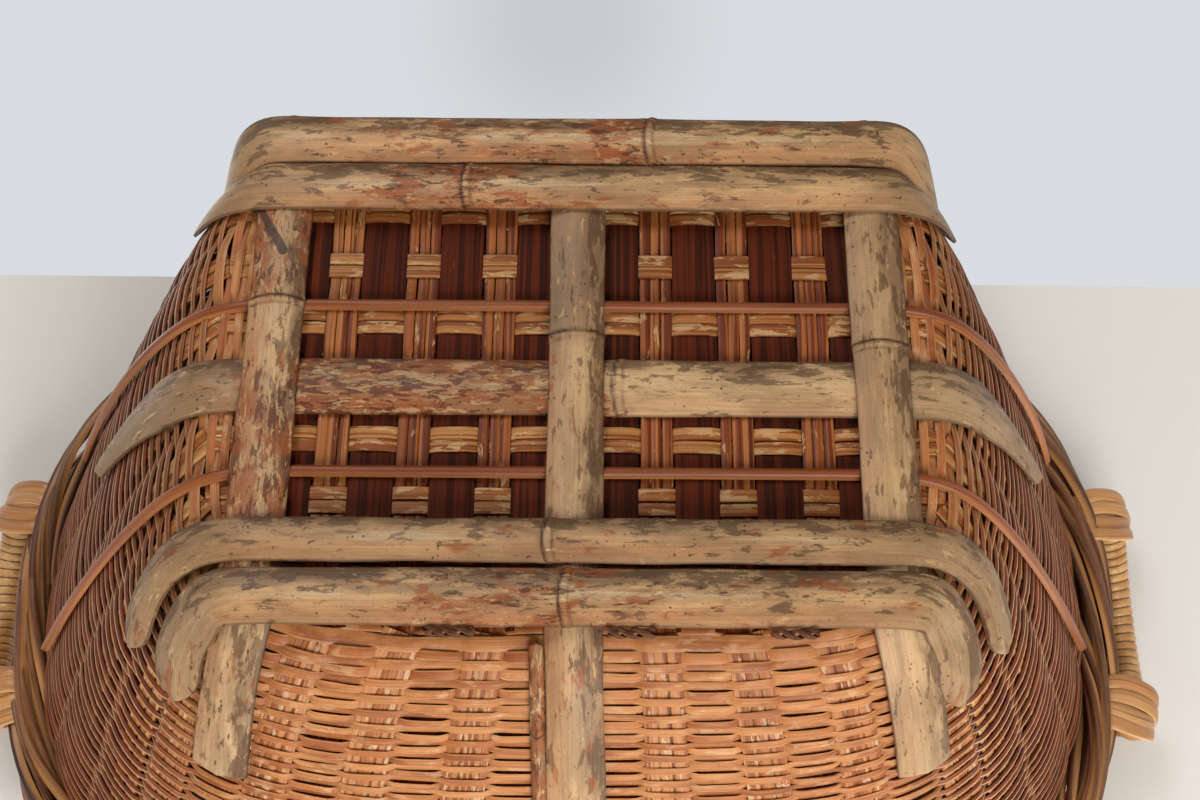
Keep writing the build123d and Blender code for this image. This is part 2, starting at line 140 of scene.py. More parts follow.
def superellipse(c, s, n):
    """How far a ray towards (c, s) goes until |x|^n + |y|^n reaches 1."""
    return (np.abs(c) ** n + np.abs(s) ** n) ** (-1 / n)


def chord(offset, depth, half, n):
    """Half-length of a superellipse at an offset from its middle: half (1 - |offset / depth|^n)^(1/n)."""
    return half * np.clip(1 - np.abs(offset / depth) ** n, 0, 1) ** (1 / n)


def outline_terms(z, side=0.0):
    """Middle, half-width, depths and exponents of the body's outline at height z."""
    flare = np.clip((z - MAT_Z) / WALL_RISE, 0, 1) ** FLARE_POWER
    middle_x = mix(BASE_SHIFT, 0.0, flare)
    middle_y = mix(BASE_WIDE_Y, BORDER_WIDE_Y, flare)
    half = mix(BASE_HALF_WIDTH, BORDER_HALF_WIDTH, flare) + side
    front = middle_y - mix(BASE_FRONT_Y, BORDER_FRONT_Y, flare) + side
    back = mix(BASE_BACK_Y, BORDER_BACK_Y, flare) - middle_y + side
    square_front = 1 / mix(1 / BASE_SQUARE, 1 / BORDER_SQUARE_FRONT, flare)
    square_back = 1 / mix(1 / BASE_SQUARE, 1 / BORDER_SQUARE_BACK, flare)
    return middle_x, middle_y, half, front, back, square_front, square_back


def body_point(angle, z, side=0.0):
    """Point of the outline at a polar angle about its middle.

    reach = (|cos / half|^n + |sin / depth|^n)^(-1/n), with a front and a back half.
    """
    angle, z = np.broadcast_arrays(np.asarray(angle, float), np.asarray(z, float))
    mx, my, half, front, back, nf, nb = outline_terms(z, side)
    c, s = np.cos(angle), np.sin(angle)
    reach = superellipse(c / half, s / np.where(s > 0, back, front), np.where(s > 0, nb, nf))
    return np.stack([mx + reach * c, my + reach * s, z], -1)


def body_normal(angle, z):
    """Outward unit normal of the flaring wall: the tangent along it crossed with the one up it."""
    turn, step = 0.004, 0.6
    along = body_point(angle + turn, z) - body_point(angle - turn, z)
    up = body_point(angle, z + step) - body_point(angle, np.maximum(z - step, MAT_Z + 0.02))
    return unit(np.cross(along, up))


def border_away(angle):
    """Level unit vectors that point away from the border at polar angles."""
    away = body_normal(angle, np.full_like(angle, ROLL_Z))
    away[:, 2] = 0
    return unit(away)


def edge_x(y, side):
    """Half-width at y of the border's outline, moved out by side."""
    _, my, half, front, back, nf, nb = outline_terms(np.array(BORDER_Z), side)
    return np.where(y > my, chord(y - my, back, half, nb), chord(y - my, front, half, nf))


def edge_y(x, side):
    """Front and back at x of the border's outline, moved out by side."""
    _, my, half, front, back, nf, nb = outline_terms(np.array(BORDER_Z), side)
    return my - chord(x, half, front, nf), my + chord(x, half, back, nb)


def fullness(p):
    """Under 1 inside the outline at each point's height, 1 on it, over 1 outside."""
    mx, my, half, front, back, nf, nb = outline_terms(p[..., 2])
    is_back = p[..., 1] > my
    depth, n = np.where(is_back, back, front), np.where(is_back, nb, nf)
    return np.abs((p[..., 0] - mx) / half) ** n + np.abs((p[..., 1] - my) / depth) ** n


def where_ray_leaves(start, direction, z):
    """Where rays in plan from start leave the outline at heights z, by halving."""
    def at(reach):
        return np.stack([start[0] + direction[0] * reach, start[1] + direction[1] * reach, z], -1)

    low, high = np.zeros_like(z), np.full_like(z, 600.0)
    for _ in range(44):
        middle = (low + high) / 2
        inside = fullness(at(middle)) < 1
        low, high = np.where(inside, middle, low), np.where(inside, high, middle)
    return at(low)


def wall_slope(p):
    """Outward unit normals at points on the wall: the gradient of fullness."""
    shifts = np.eye(3) * 0.05
    return unit(np.stack([fullness(p + d) - fullness(p - d) for d in shifts], -1))


# ---- meshes -------------------------------------------------------------------------


def quads(grid):
    """The corners of each cell of a [strand, station, corner] grid, in order round the cell."""
    beside = np.roll(grid, -1, 2)
    return np.stack([grid, beside, np.roll(beside, -1, 1), np.roll(grid, -1, 1)], -1)


def finish_mesh(name, points, polygons, uv, values, sharp):
    """Put points, arrays of polygons (one for each number of corners), UV and values into an object."""
    mesh = bpy.data.meshes.new(name)
    corners = np.concatenate([p.ravel() for p in polygons]).astype(np.int32)
    sizes = np.concatenate([np.full(len(p), p.shape[1]) for p in polygons])
    starts = np.concatenate([[0], np.cumsum(sizes)[:-1]]).astype(np.int32)
    mesh.vertices.add(len(points))
    mesh.vertices.foreach_set("co", (points * MM).astype(np.float32).ravel())
    mesh.loops.add(len(corners))
    mesh.loops.foreach_set("vertex_index", corners)
    mesh.polygons.add(len(starts))
    mesh.polygons.foreach_set("loop_start", starts)
    mesh.update(calc_edges=True)
    mesh.uv_layers.new(name="UVMap").data.foreach_set("uv", (uv * MM).astype(np.float32).ravel())
    for label, value in values.items():
        value = np.broadcast_to(value, len(points)).astype(np.float32)
        mesh.attributes.new(label, "FLOAT", "POINT").data.foreach_set("value", value)
    mesh.polygons.foreach_set("use_smooth", np.ones(len(starts), bool))
    mesh.set_sharp_from_angle(angle=math.radians(sharp))
    piece = bpy.data.objects.new(name, mesh)
    bpy.context.scene.collection.objects.link(piece)
    return piece


def strands(name, path, out, width, depth, section, loop=False, sharp=60, lift=0.0, tone=None, **values):
    """Strips or canes that carry one closed section along their paths, all in one mesh.

    path is [strand, station, xyz] and out is the same or one vector. A corner lies at
    path + across * a * width / 2 + out * (o * depth + lift), with (a, o) from the section and
    across = out x direction of travel. UV runs in millimetres: along the strand from a chance
    start, and across it. Each strand has a chance tone unless one is given.
    """
    count, stations = path.shape[:2]
    section = np.asarray(section, float)
    shape = (count, stations, len(section))
    if tone is None:
        tone = chance.random((count, 1))

    def spread(value):
        value = np.asarray(value, float)
        while value.ndim < 3:
            value = value[..., None]
        return np.broadcast_to(value, shape)

    travel = np.roll(path, -1, 1) - np.roll(path, 1, 1) if loop else np.gradient(path, axis=1)
    travel = unit(travel)
    out = np.broadcast_to(out, path.shape)
    out = unit(out - travel * np.sum(out * travel, -1, keepdims=True))
    across = np.cross(out, travel)
    side = section[:, 0] * spread(width) / 2
    rise = section[:, 1] * spread(depth) + lift
    points = path[:, :, None] + across[:, :, None] * side[..., None] + out[:, :, None] * rise[..., None]

    stop = None if loop else -1
    index = np.arange(count * stations * len(section)).reshape(shape)
    step = np.linalg.norm(np.roll(path, -1, 1) - path, axis=-1)
    run = np.concatenate([np.zeros((count, 1)), np.cumsum(step, 1)], 1)
    run = run + chance.uniform(0, 4000, (count, 1))
    u, u_next = spread(run[:, :-1]), spread(run[:, 1:])
    uv = np.stack([np.stack([u, u, u_next, u_next], -1), quads(side)], -1)[:, :stop].reshape(-1, 2)
    polygons = [quads(index)[:, :stop].reshape(-1, 4)]
    if not loop:
        polygons.append(np.concatenate([index[:, 0, ::-1], index[:, -1]]))
        caps = [np.stack([u[:, 0], side[:, 0, ::-1]], -1), np.stack([u[:, -1], side[:, -1]], -1)]
        uv = np.concatenate([uv, np.concatenate(caps).reshape(-1, 2)])
    values = {label: spread(value).ravel() for label, value in values.items()}
    values.update(across=spread(section[None, None, :, 0]).ravel(), tone=spread(tone).ravel())
    return finish_mesh(name, points.reshape(-1, 3), polygons, uv, values, sharp)


def mirrored(half):
    """A section from its first half, repeated in reverse on the other side."""
    return half + [(-a, o) for a, o in reversed(half) if a]


FLAT_STRIP = [(1.0, -0.25), (1.0, 0.25), (0.72, 0.5), (-0.72, 0.5), (-1.0, 0.25), (-1.0, -0.25),
              (-0.72, -0.5), (0.72, -0.5)]
WEAVER_STRIP = [(1.0, 0.1), (0.62, 0.5), (-0.62, 0.5), (-1.0, 0.1), (-0.7, -0.5), (0.7, -0.5)]
HALF_ROUND = mirrored([(1.0, 0.0), (0.92, 0.42), (0.7, 0.74), (0.38, 0.94), (0.0, 1.0)])
PEEL_STRIP = mirrored([(1.0, 0.0), (0.9, 0.55), (0.5, 0.92), (0.0, 1.0)])


def crowned(count=13):
    """Section of a split bamboo lath: a flat inner face, upright edges, and an outer face that rises by
    (1 - a^2) from the edge to 1."""
    a = np.sin(np.linspace(math.pi / 2, -math.pi / 2, count))
    top = np.stack([a, LATH_EDGE + (1 - LATH_EDGE) * (1 - a * a)], -1)
    return np.concatenate([[(1.0, 0.0)], top, [(-1.0, 0.0)]])


def waviness(count, stations, size, knots):
    """Gentle chance drift along each strand: chance values at knots, joined by a cosine."""
    values = chance.normal(0, size, (count, knots + 1))
    values[:, -1] = values[:, 0]
    place = np.linspace(0, knots, stations, endpoint=False)
    low = place.astype(int)
    t = (1 - np.cos((place - low) * math.pi)) / 2
    return values[:, low] * (1 - t) + values[:, low + 1] * t


# ---- wall weave ---------------------------------------------------------------------


def stake_angles():
    """Polar angles of the wall's stakes in order round the body, and 1 for those on its two sides.

    The mat's stakes leave its front and back edges, its cross pairs leave the two sides.
    """
    across = STAKE_PITCH * np.arange(-STAKES_EACH_WAY, STAKES_EACH_WAY + 1)
    along = CROSS_FIRST_Y + CROSS_PITCH * np.arange(CROSS_COUNT) - BASE_WIDE_Y
    front_y, back_y = (chord(across, BASE_HALF_WIDTH, depth, BASE_SQUARE)
                       for depth in (FRONT_DEPTH, BACK_DEPTH))
    side_x = chord(along, np.where(along > 0, BACK_DEPTH, FRONT_DEPTH), BASE_HALF_WIDTH, BASE_SQUARE)
    runs = [np.arctan2(-front_y, across), np.arctan2(along, side_x),
            np.arctan2(back_y, across)[::-1], np.arctan2(along, -side_x)[::-1]]
    on_side = np.concatenate([np.full(len(run), number % 2) for number, run in enumerate(runs)])
    return np.unwrap(np.concatenate(runs)), on_side


stake_at, stake_is_side = stake_angles()
stake_total = len(stake_at)
station = np.arange(stake_total * SAMPLES_PER_STAKE) / SAMPLES_PER_STAKE
stake_numbers = np.arange(stake_total + 1)
weave_angle = np.interp(station, stake_numbers, np.append(stake_at, stake_at[0] + 2 * math.pi))
weave_side = np.interp(station, stake_numbers, np.append(stake_is_side, stake_is_side[0]).astype(float))


def is_wide(number):
    """Whether a stake of the front or back wall is one of the wide dark ones."""
    in_front = number < 2 * STAKES_EACH_WAY + 1
    return np.where(in_front, number % 2 == 1, (number - CROSS_COUNT) % 2 == 0)


nearest_stake = np.round(station).astype(int) % stake_total
from_stake = np.abs(station - np.round(station))
weave_wide = np.where(stake_is_side[nearest_stake] == 0, is_wide(nearest_stake), False) * (
    1 - smooth(0.34, 0.5, from_stake))


def weave_swing(row):
    """Outside one stake and inside the next: tanh(k cos(pi (stake + row))) / tanh(k).

    k is larger where the stakes are wide, at the front and back.
    """
    sharpness = mix(3.0, 1.25, weave_side)
    return np.tanh(sharpness * np.cos(math.pi * (station + row[:, None]))) / np.tanh(sharpness)


def weaver_rows(name, heights, first_row):
    """Weavers round the wall, one closed loop a row.

    The loop follows the wall's outline; its distance from the weave's middle follows the weave's swing.
    """
    rows = len(heights)
    row = first_row + np.arange(rows)
    z = heights[:, None] + waviness(rows, len(station), 0.22, 30) * np.clip(ROW_PITCH / 2, 0.4, 1)
    angle = np.broadcast_to(weave_angle, z.shape)
    point, out = body_point(angle, z), body_normal(angle, z)
    swing = weave_swing(row)
    swing = swing * (1 - weave_wide * np.where(swing < 0, 0.85, 0.15))
    loose = waviness(rows, len(station), 0.16, 40)
    path = point + out * (WALL_MIDDLE + WEAVER_SWING * swing + loose)[..., None]
    step = 0.5
    climb = np.linalg.norm(body_point(angle, z + step) - body_point(angle, z - step), axis=-1) / (2 * step)
    climb = np.where(z < MAT_Z + step, np.roll(climb, -1, 0), climb)
    share = np.clip((z - MAT_Z) / WALL_RISE, 0, 1)
    cover = mix(1.0, mix(0.84, WEAVER_COVER, smooth(0.0, 0.4, share)), weave_side)
    width = cover * ROW_PITCH * climb * (1 + waviness(rows, len(station), 0.07, 60))
    splice = ((station + chance.uniform(0, 50, (rows, 1))) / SPLICE_STAKES).astype(int)
    tone = np.take_along_axis(chance.random((rows, 16)), splice % 16, 1)
    # The red-brown share: walls that face sideways get it, partly the weavers' own tone and partly painted
    # shade; the upper rows get some too.
    sideways = smooth(0.22, 0.62, np.abs(out[..., 0]))
    ripe = sideways * smooth(-0.3, 0.3, share) + 0.3 * smooth(0.5, 1.0, share)
    return strands(name, path, out, width, WEAVER_THICK, WEAVER_STRIP, loop=True, sharp=75,
                   tone=tone, ripe=np.clip(ripe, 0, 1), swing=swing)


def wall_stakes():
    """The stakes that climb the wall: three narrow strips or one wide one from the mat's stakes, and
    pairs from its cross strips. Each follows a line of equal polar angle up to the wall's top."""
    z = MAT_Z + (WALL_TOP - MAT_Z) * np.linspace(0.0, 1, 46) ** 1.25
    groups = {"light": [], "dark": [], "side": []}
    shifts = {"side": (-PAIR_HALF, PAIR_HALF), "dark": (0.0,), "light": (-STRIP_SPACING, 0.0, STRIP_SPACING)}
    for number, (angle, is_side) in enumerate(zip(stake_at, stake_is_side)):
        kind = "side" if is_side else "dark" if is_wide(number) else "light"
        groups[kind] += [(angle, shift) for shift in shifts[kind]]
    made = []
    for kind, width, inset in (("light", STRIP_SPACING, 0.0), ("dark", WALL_DARK_WIDTH, DARK_INSET),
                               ("side", WALL_SIDE_WIDTH, 0.0)):
        angle, shift = np.array(groups[kind]).T[..., None]
        height = np.broadcast_to(z, (len(angle), len(z)))
        angle = np.broadcast_to(angle, height.shape)
        point, out = body_point(angle, height), body_normal(angle, height)
        across = np.cross(out, unit(np.gradient(point, axis=1)))
        spread = 1 + WALL_SPREAD * np.clip((height - MAT_Z) / WALL_RISE, 0, 1)
        path = point + out * (WALL_MIDDLE - inset) + across * (shift * spread)[..., None]
        made.append(strands(f"wall_stakes_{kind}", path, out, width * np.minimum(spread, 1.12), STAKE_THICK,
                            FLAT_STRIP))
    return made


ROW_PITCH = WALL_RISE / WEAVER_ROWS
BAND_PITCH = (WALL_TOP - BORDER_Z) / BAND_ROWS
row_heights = np.concatenate([MAT_Z + ROW_PITCH * (np.arange(WEAVER_ROWS) + 0.5),
                              BORDER_Z + BAND_PITCH * (np.arange(BAND_ROWS) + 0.5)])
half_rows = len(row_heights) // 2
weavers_low = weaver_rows("wall_weavers_low", row_heights[:half_rows], 0)
weavers_high = weaver_rows("wall_weavers_high", row_heights[half_rows:], half_rows)
stakes_light, stakes_dark, stakes_side = wall_stakes()

# ---- mat under the base -------------------------------------------------------------


def edge_weavers():
    """The first rows of weavers, laid flat on the mat's edge: the outline moved inwards row by row."""
    row = np.arange(EDGE_ROWS)
    inset = -EDGE_PITCH * (EDGE_ROWS - 0.5 - row)[:, None] + waviness(EDGE_ROWS, len(station), 0.25, 30)
    point = body_point(np.broadcast_to(weave_angle, inset.shape), MAT_Z, inset)
    swing = weave_swing(row + 1)
    point[..., 2] = MAT_MIDDLE - 0.9 * swing
    return strands("mat_edge_weavers", point, -UP, WEAVER_COVER * EDGE_PITCH, WEAVER_THICK, WEAVER_STRIP,
                   loop=True, sharp=75, ripe=0.0, swing=swing)


def over_under(place):
    """A strip's swing as it passes over and under others that lie at whole numbers."""
    return np.tanh(2.6 * np.cos(math.pi * place)) / np.tanh(2.6)


def mat_strips():
    """The mat's strips: stakes from front to back and pairs of cross strips, plain weave.

    A strip's height is the mat's middle, less the swing times +1 or -1 in turn. The strips end 1 mm
    inside the base's outline.
    """
    number = np.arange(-STAKES_EACH_WAY, STAKES_EACH_WAY + 1)
    made = []
    lanes = (("light", 0, (-MAT_LIGHT_SPACING, 0.0, MAT_LIGHT_SPACING), MAT_LIGHT_WIDTH),
             ("dark", 1, (0.0,), MAT_DARK_WIDTH))
    for kind, parity, shifts, width in lanes:
        k = np.repeat(number[number % 2 == parity], len(shifts))
        x = BASE_SHIFT + STAKE_PITCH * k + np.tile(shifts, len(k) // len(shifts))
        front, back = (BASE_WIDE_Y + s * chord(x - BASE_SHIFT, BASE_HALF_WIDTH - 1, depth - 1, BASE_SQUARE)
                       for s, depth in ((-1, FRONT_DEPTH), (1, BACK_DEPTH)))
        y = mix(front[:, None], back[:, None], np.linspace(0, 1, 150)[None])
        z = MAT_MIDDLE - MAT_SWING * over_under((y - CROSS_FIRST_Y) / CROSS_PITCH + k[:, None])
        path = np.stack([x[:, None] + waviness(len(k), y.shape[1], 0.12, 6), y, z], -1)
        width = width * (1 + waviness(len(k), y.shape[1], 0.02, 8))
        made.append(strands(f"mat_stakes_{kind}", path, -UP, width, STAKE_THICK, FLAT_STRIP))
    j = np.repeat(np.arange(CROSS_COUNT), 2)
    y = CROSS_FIRST_Y + CROSS_PITCH * j + np.tile([-MAT_PAIR_HALF, MAT_PAIR_HALF], CROSS_COUNT)
    depth = np.where(y > BASE_WIDE_Y, BACK_DEPTH, FRONT_DEPTH) - 1
    reach = chord(y - BASE_WIDE_Y, depth, BASE_HALF_WIDTH - 1, BASE_SQUARE)
    x = BASE_SHIFT + reach[:, None] * np.linspace(-1, 1, 260)[None]
    z = MAT_MIDDLE + MAT_SWING * over_under((x - BASE_SHIFT) / STAKE_PITCH + j[:, None])
    path = np.stack([x, y[:, None] + waviness(len(j), x.shape[1], 0.15, 10), z], -1)
    made.append(strands("mat_cross_strips", path, -UP, MAT_CROSS_WIDTH, MAT_CROSS_THICK, FLAT_STRIP))
    return made


mat_edge = edge_weavers()
mat_light, mat_dark, mat_cross = mat_strips()

# ---- laths --------------------------------------------------------------------------


def even_route(path, out, rounding):
    """Even stations along a route, with its corners rounded by repeated averaging of neighbours."""
    travelled = np.append(0, np.cumsum(np.linalg.norm(np.diff(path, axis=0), axis=1)))
    even = np.linspace(0, travelled[-1], LATH_STATIONS)
    path, out = (np.stack([np.interp(even, travelled, line[:, i]) for i in range(3)], -1)
                 for line in (path, out))
    for _ in range(rounding):
        for line in (path, out):
            line[1:-1] = (line[:-2] + 2 * line[1:-1] + line[2:]) / 4
    return path, unit(out), even


def joined(runs, normals, rounding):
    """One route from two legs, each listed from its foot outwards."""
    path, out = (np.concatenate([legs[0][::-1], legs[1]]) for legs in (runs, normals))
    return even_route(path, out, rounding)


def wall_route(left, right, floor, fan=0.0):
    """Inner face of a lath: up the wall at both ends, straight under the base between.

    left and right give each end's start, its direction in plan and how high it climbs. fan turns a leg
    forward by fan * share^1.5 of its climb.
    """
    runs, normals = [], []
    for start, direction, rise in (left, right):
        share = np.linspace(0.0, 1, 40) ** 1.6
        z = MAT_Z + (rise - MAT_Z) * share
        on_wall = where_ray_leaves((start[0], start[1] - fan * share ** 1.5), direction, z)
        on_wall = on_wall[np.hypot(*(on_wall[:, :2] - start).T) > LEG_CLEAR]
        slope = wall_slope(on_wall)
        runs.append(np.concatenate([[[*start, MAT_Z - floor]], on_wall + slope * LEG_GAP]))
        normals.append(np.concatenate([[-UP], slope]))
    return joined(runs, normals, 150)


def bell(distance, spread):
    """exp(-(distance / spread)^2)."""
    return np.exp(-(distance / spread) ** 2)


def node_marks(along, section, ridge, groove, ring):
    """A node's shape and its dark ring, by distance along the lath; both bow towards the lath's edges.

    A ridge of bell(d, 1.1) has a groove on one side. ring gives the spread of the ring's main line, and the
    share and spread of its fainter second line.
    """
    offset = along[None, :, None] + 1.6 * section[:, 0] ** 2
    shape = (ridge * bell(offset, 1.1) - groove * bell(offset - 1.9, 0.7)) * (section[:, 1] > 0.01)
    return shape, bell(offset - 1.7, ring[0]) + ring[1] * bell(offset + 1.5, ring[2])


def rounded_ends(along, blunt):
    """Share of the width that is left near the two ends of a lath: a quarter circle over blunt mm."""
    from_end = np.minimum(along - along[0], along[-1] - along)
    return np.sqrt(np.clip(1 - (1 - np.clip(from_end / blunt, 0.02, 1)) ** 2, 0.05, 1))


def lath(name, route, thick, width, tip=None, nodes=(), axis=0, blunt=4.0, section=None,
         worn=((0, 0.4),), aged=((0, 0.2),), pale=((0, 0.3),)):
    """A split bamboo lath with its nodes, a little wider at each. tip is the width at its ends and the
    length over which it narrows. worn, aged and pale give the skin's rust, grey and straw at places
    along the axis."""
    path, out, along = route
    wide = width * (1 + waviness(1, LATH_STATIONS, 0.022, 14)[0])
    if tip is not None:
        from_end = np.minimum(along, along[-1] - along)
        wide = mix(wide, tip[0], np.maximum(0, 1 - from_end / tip[1]) ** 0.8)
    wide = wide * rounded_ends(along, blunt)
    profile = crowned() if section is None else np.asarray(section, float)
    lift = np.zeros((1, LATH_STATIONS, len(profile)))
    ring = np.zeros_like(lift)
    for node in nodes:
        from_node = along - along[np.argmin(np.abs(path[:, axis] - node) + 500 * (out[:, 2] > -0.6))]
        shape, mark = node_marks(from_node, profile, 0.75, 0.35, (0.5, 0.5, 0.4))
        lift, ring = lift + shape, np.maximum(ring, mark)
        wide = wide * (1 + 0.035 * bell(from_node, 3.0))
    lift = lift + waviness(1, LATH_STATIONS, 0.1, 12)[..., None] * (profile[:, 1] > 0.01)
    skin = {label: np.interp(path[:, axis], *np.array(table, float).T)[None]
            for label, table in (("worn", worn), ("aged", aged), ("pale", pale))}
    return strands(name, path[None], out[None], wide[None], thick, profile, sharp=48, lift=lift, ring=ring,
                   **skin)


def cross_lath(name, y, rise, fan, width, floor=BAND_FLOOR, thick=BAND_LAYER, **more):
    """A lath from side to side; fan is how far each leg turns forward on the side wall.

    The broad laths' legs turn in a curve, the thin strips' straight.
    """
    reach = BASE_HALF_WIDTH - TURN_IN
    tip = where_ray_leaves((0.0, y), (1.0, 0.0), np.array([rise]))[0, 0]
    curve, slope = (fan, 0.0) if width > 10 else (0.0, -fan / (tip - reach))
    ends = [((BASE_SHIFT + s * reach, y), (s, slope), rise) for s in (-1, 1)]
    return lath(name, wall_route(*ends, floor, curve), thick, width, **more)


# a corner lath's bent ends: steps outwards, forward and up, the lean and the turn in degrees
CORNER_STEPS = np.array([(0, 0, 0), (5, 1.8, 2.0), (9.5, 5.4, 6.5), (13, 9.6, 13.0), (16, 13.0, 21.0),
                         (18.5, 15.5, 29.0)])
CORNER_LEAN = np.radians([0, 20, 38, 50, 57, 60])
CORNER_TURN = np.radians([0, 0, 2, 4, 8, 12])


def corner_lath(name, y, width, **more):
    """A lath from side to side whose ends bend round the mat's corners and tuck under the next lath."""
    runs, normals = [], []
    for s, reach in ((-1, 114.0), (1, 113.0)):
        foot = np.array([BASE_SHIFT + s * reach, y, MAT_Z - BAND_FLOOR])
        runs.append(foot + CORNER_STEPS * [s, -1, 1])
        normals.append(np.stack([s * np.sin(CORNER_LEAN) * np.cos(CORNER_TURN),
                                 np.sin(CORNER_LEAN) * np.sin(CORNER_TURN), -np.cos(CORNER_LEAN)], -1))
    return lath(name, joined(runs, normals, 60), BAND_LAYER, width, **more)


def long_slat(name, x, splay, width, rise, back_y=BASE_BACK_Y - TURN_IN, **more):
    """A lath from the front wall, under the base, to the back wall or to a flat end at back_y."""
    tip = where_ray_leaves((x, BORDER_WIDE_Y), (0.0, -1.0), np.array([rise]))[0, 1]
    front = ((x, BASE_FRONT_Y + TURN_IN), (splay / (BASE_FRONT_Y - tip), -1.0), rise)
    back = ((x, back_y), (0.0, 1.0), rise)
    return lath(name, wall_route(front, back, SLAT_FLOOR), SLAT_LAYER, width, axis=1, blunt=1.5, **more)


GREY_ENDS = ((-150, 0.9), (-118, 0.7), (-98, 0.2), (96, 0.2), (116, 0.7), (150, 0.9))
FRONT_OUTER_Y = -33.4
FRONT_OUTER_WIDTH = 19.0
SLAT_SPACING = 104.0
SLAT_END_Y = 150.5             # where the two side slats end, flat, at the back
CENTRE_WIDTH = 19.0
SLAT_TOP = BORDER_Z - 0.3
bands = [
    corner_lath("band_back_outer", 139.4, 19.0, nodes=[-29.8],
                worn=((-120, 0.35), (-35, 0.45), (-20, 0.85), (10, 0.6), (70, 0.5), (100, 0.2)),
                aged=((-120, 0.35), (-60, 0.15), (80, 0.1), (118, 0.5)),
                pale=((-100, 0.45), (60, 0.3), (110, 0.6))),
    cross_lath("band_back_inner", 119.8, 32.0, 0.0, 18.5, nodes=[35.0],
               worn=((-110, 0.3), (0, 0.35), (32, 0.75), (60, 0.7), (80, 0.3), (120, 0.1)), aged=GREY_ENDS,
               pale=((-100, 0.7), (30, 0.6), (80, 0.4))),
    cross_lath("band_front_inner", -14.2, 38.0, 25.0, 15.0, blunt=10.0, nodes=[3.6],
               worn=((-110, 0.25), (0, 0.35), (20, 0.3), (110, 0.3)),
               aged=((-150, 0.9), (-118, 0.75), (-98, 0.5), (96, 0.5), (116, 0.75), (150, 0.9)),
               pale=((-100, 0.4), (100, 0.35))),
    cross_lath("band_front_outer", FRONT_OUTER_Y, 35.5, 24.0, FRONT_OUTER_WIDTH, blunt=12.0, nodes=[-1.5],
               worn=((-110, 0.35), (-40, 0.4), (2, 0.7), (40, 0.6), (70, 0.3), (115, 0.4)), aged=GREY_ENDS,
               pale=((-100, 0.6), (0, 0.5), (100, 0.6))),
]
middle_band = cross_lath(
    "band_middle", 43.2, 66.0, 8.0, 20.5, LAYER_GAP, CROSS_LAYER, tip=(9.0, 52.0), nodes=[-18.9], blunt=5.0,
    worn=((-110, 0.15), (-20, 0.12), (-12, 0.75), (90, 0.95), (112, 0.35)),
    aged=((-150, 0.9), (-112, 0.6), (-100, 0.0), (-20, 0.0), (-15, 0.25), (100, 0.3), (120, 0.95)),
    pale=((-110, 0.95), (-18, 1.0), (-14, 0.35), (90, 0.3)))
thin_strips = [
    cross_lath(f"thin_strip_{end}", y, 116.0, fan, 4.0, LAYER_GAP, CROSS_LAYER, section=HALF_ROUND, blunt=2.5)
    for end, y, fan in (("back", 74.8, 12.0), ("front", 12.0, 28.0))]
slats = [
    long_slat("slat_right", BASE_SHIFT + SLAT_SPACING, 11.0, 19.5, 50.0, nodes=[74.8], back_y=SLAT_END_Y,
              worn=((-90, 0.3), (-45, 0.45), (-20, 0.95), (40, 0.7), (72, 0.3), (78, 0.8), (115, 0.65)),
              aged=((-60, 0.25), (0, 0.1), (120, 0.2)), pale=((-60, 0.75), (20, 0.5), (70, 0.85), (80, 0.5))),
    long_slat("slat_left", BASE_SHIFT - SLAT_SPACING, -11.0, 19.5, 50.0, nodes=[58.7], back_y=SLAT_END_Y,
              worn=((-60, 0.15), (30, 0.2), (120, 0.15)),
              aged=((-60, 0.4), (-42, 0.12), (30, 0.28), (62, 0.42), (120, 0.4)),
              pale=((-60, 0.4), (-42, 0.8), (50, 0.66), (120, 0.65))),
    long_slat("slat_centre", BASE_SHIFT, -2.5, CENTRE_WIDTH, SLAT_TOP, nodes=[61.6],
              worn=((-100, 0.3), (-50, 0.35), (-20, 0.35), (30, 0.3), (58, 0.3), (66, 0.12)),
              aged=((-100, 0.3), (-20, 0.2), (56, 0.3), (63, 0.95), (140, 0.9)),
              pale=((-100, 0.5), (0, 0.75), (55, 0.75), (64, 0.25))),
]

SPLIT_WIDTH = 4.6
TIE_PLACES = (-75.0, -23.0, 34.0)
TIE_LENGTH = 15.0
TIE_Y = FRONT_OUTER_Y - FRONT_OUTER_WIDTH / 2 - 1.9
TIE_Z = 1.9
TIE_RADIUS = 0.85


def split_lath():
    """The narrow split lath up the front wall beside the centre slat, with one knot."""
    x = BASE_SHIFT + (CENTRE_WIDTH + SPLIT_WIDTH) / 2 + 0.1
    z = MAT_Z + (SLAT_TOP - MAT_Z) * np.linspace(0.006, 1, 60)
    on_wall = where_ray_leaves((x, BASE_FRONT_Y + TURN_IN), (-0.022, -1.0), z)
    normal = wall_slope(on_wall)
    route = even_route(on_wall + normal * LEG_GAP, normal, 8)
    return lath("split_lath", route, 2.4, SPLIT_WIDTH, nodes=[26.0], axis=2, blunt=1.0,
                worn=((0, 0.9),), aged=((0, 0.75), (150, 0.6)), pale=((0, 0.0), (150, 0.1)))


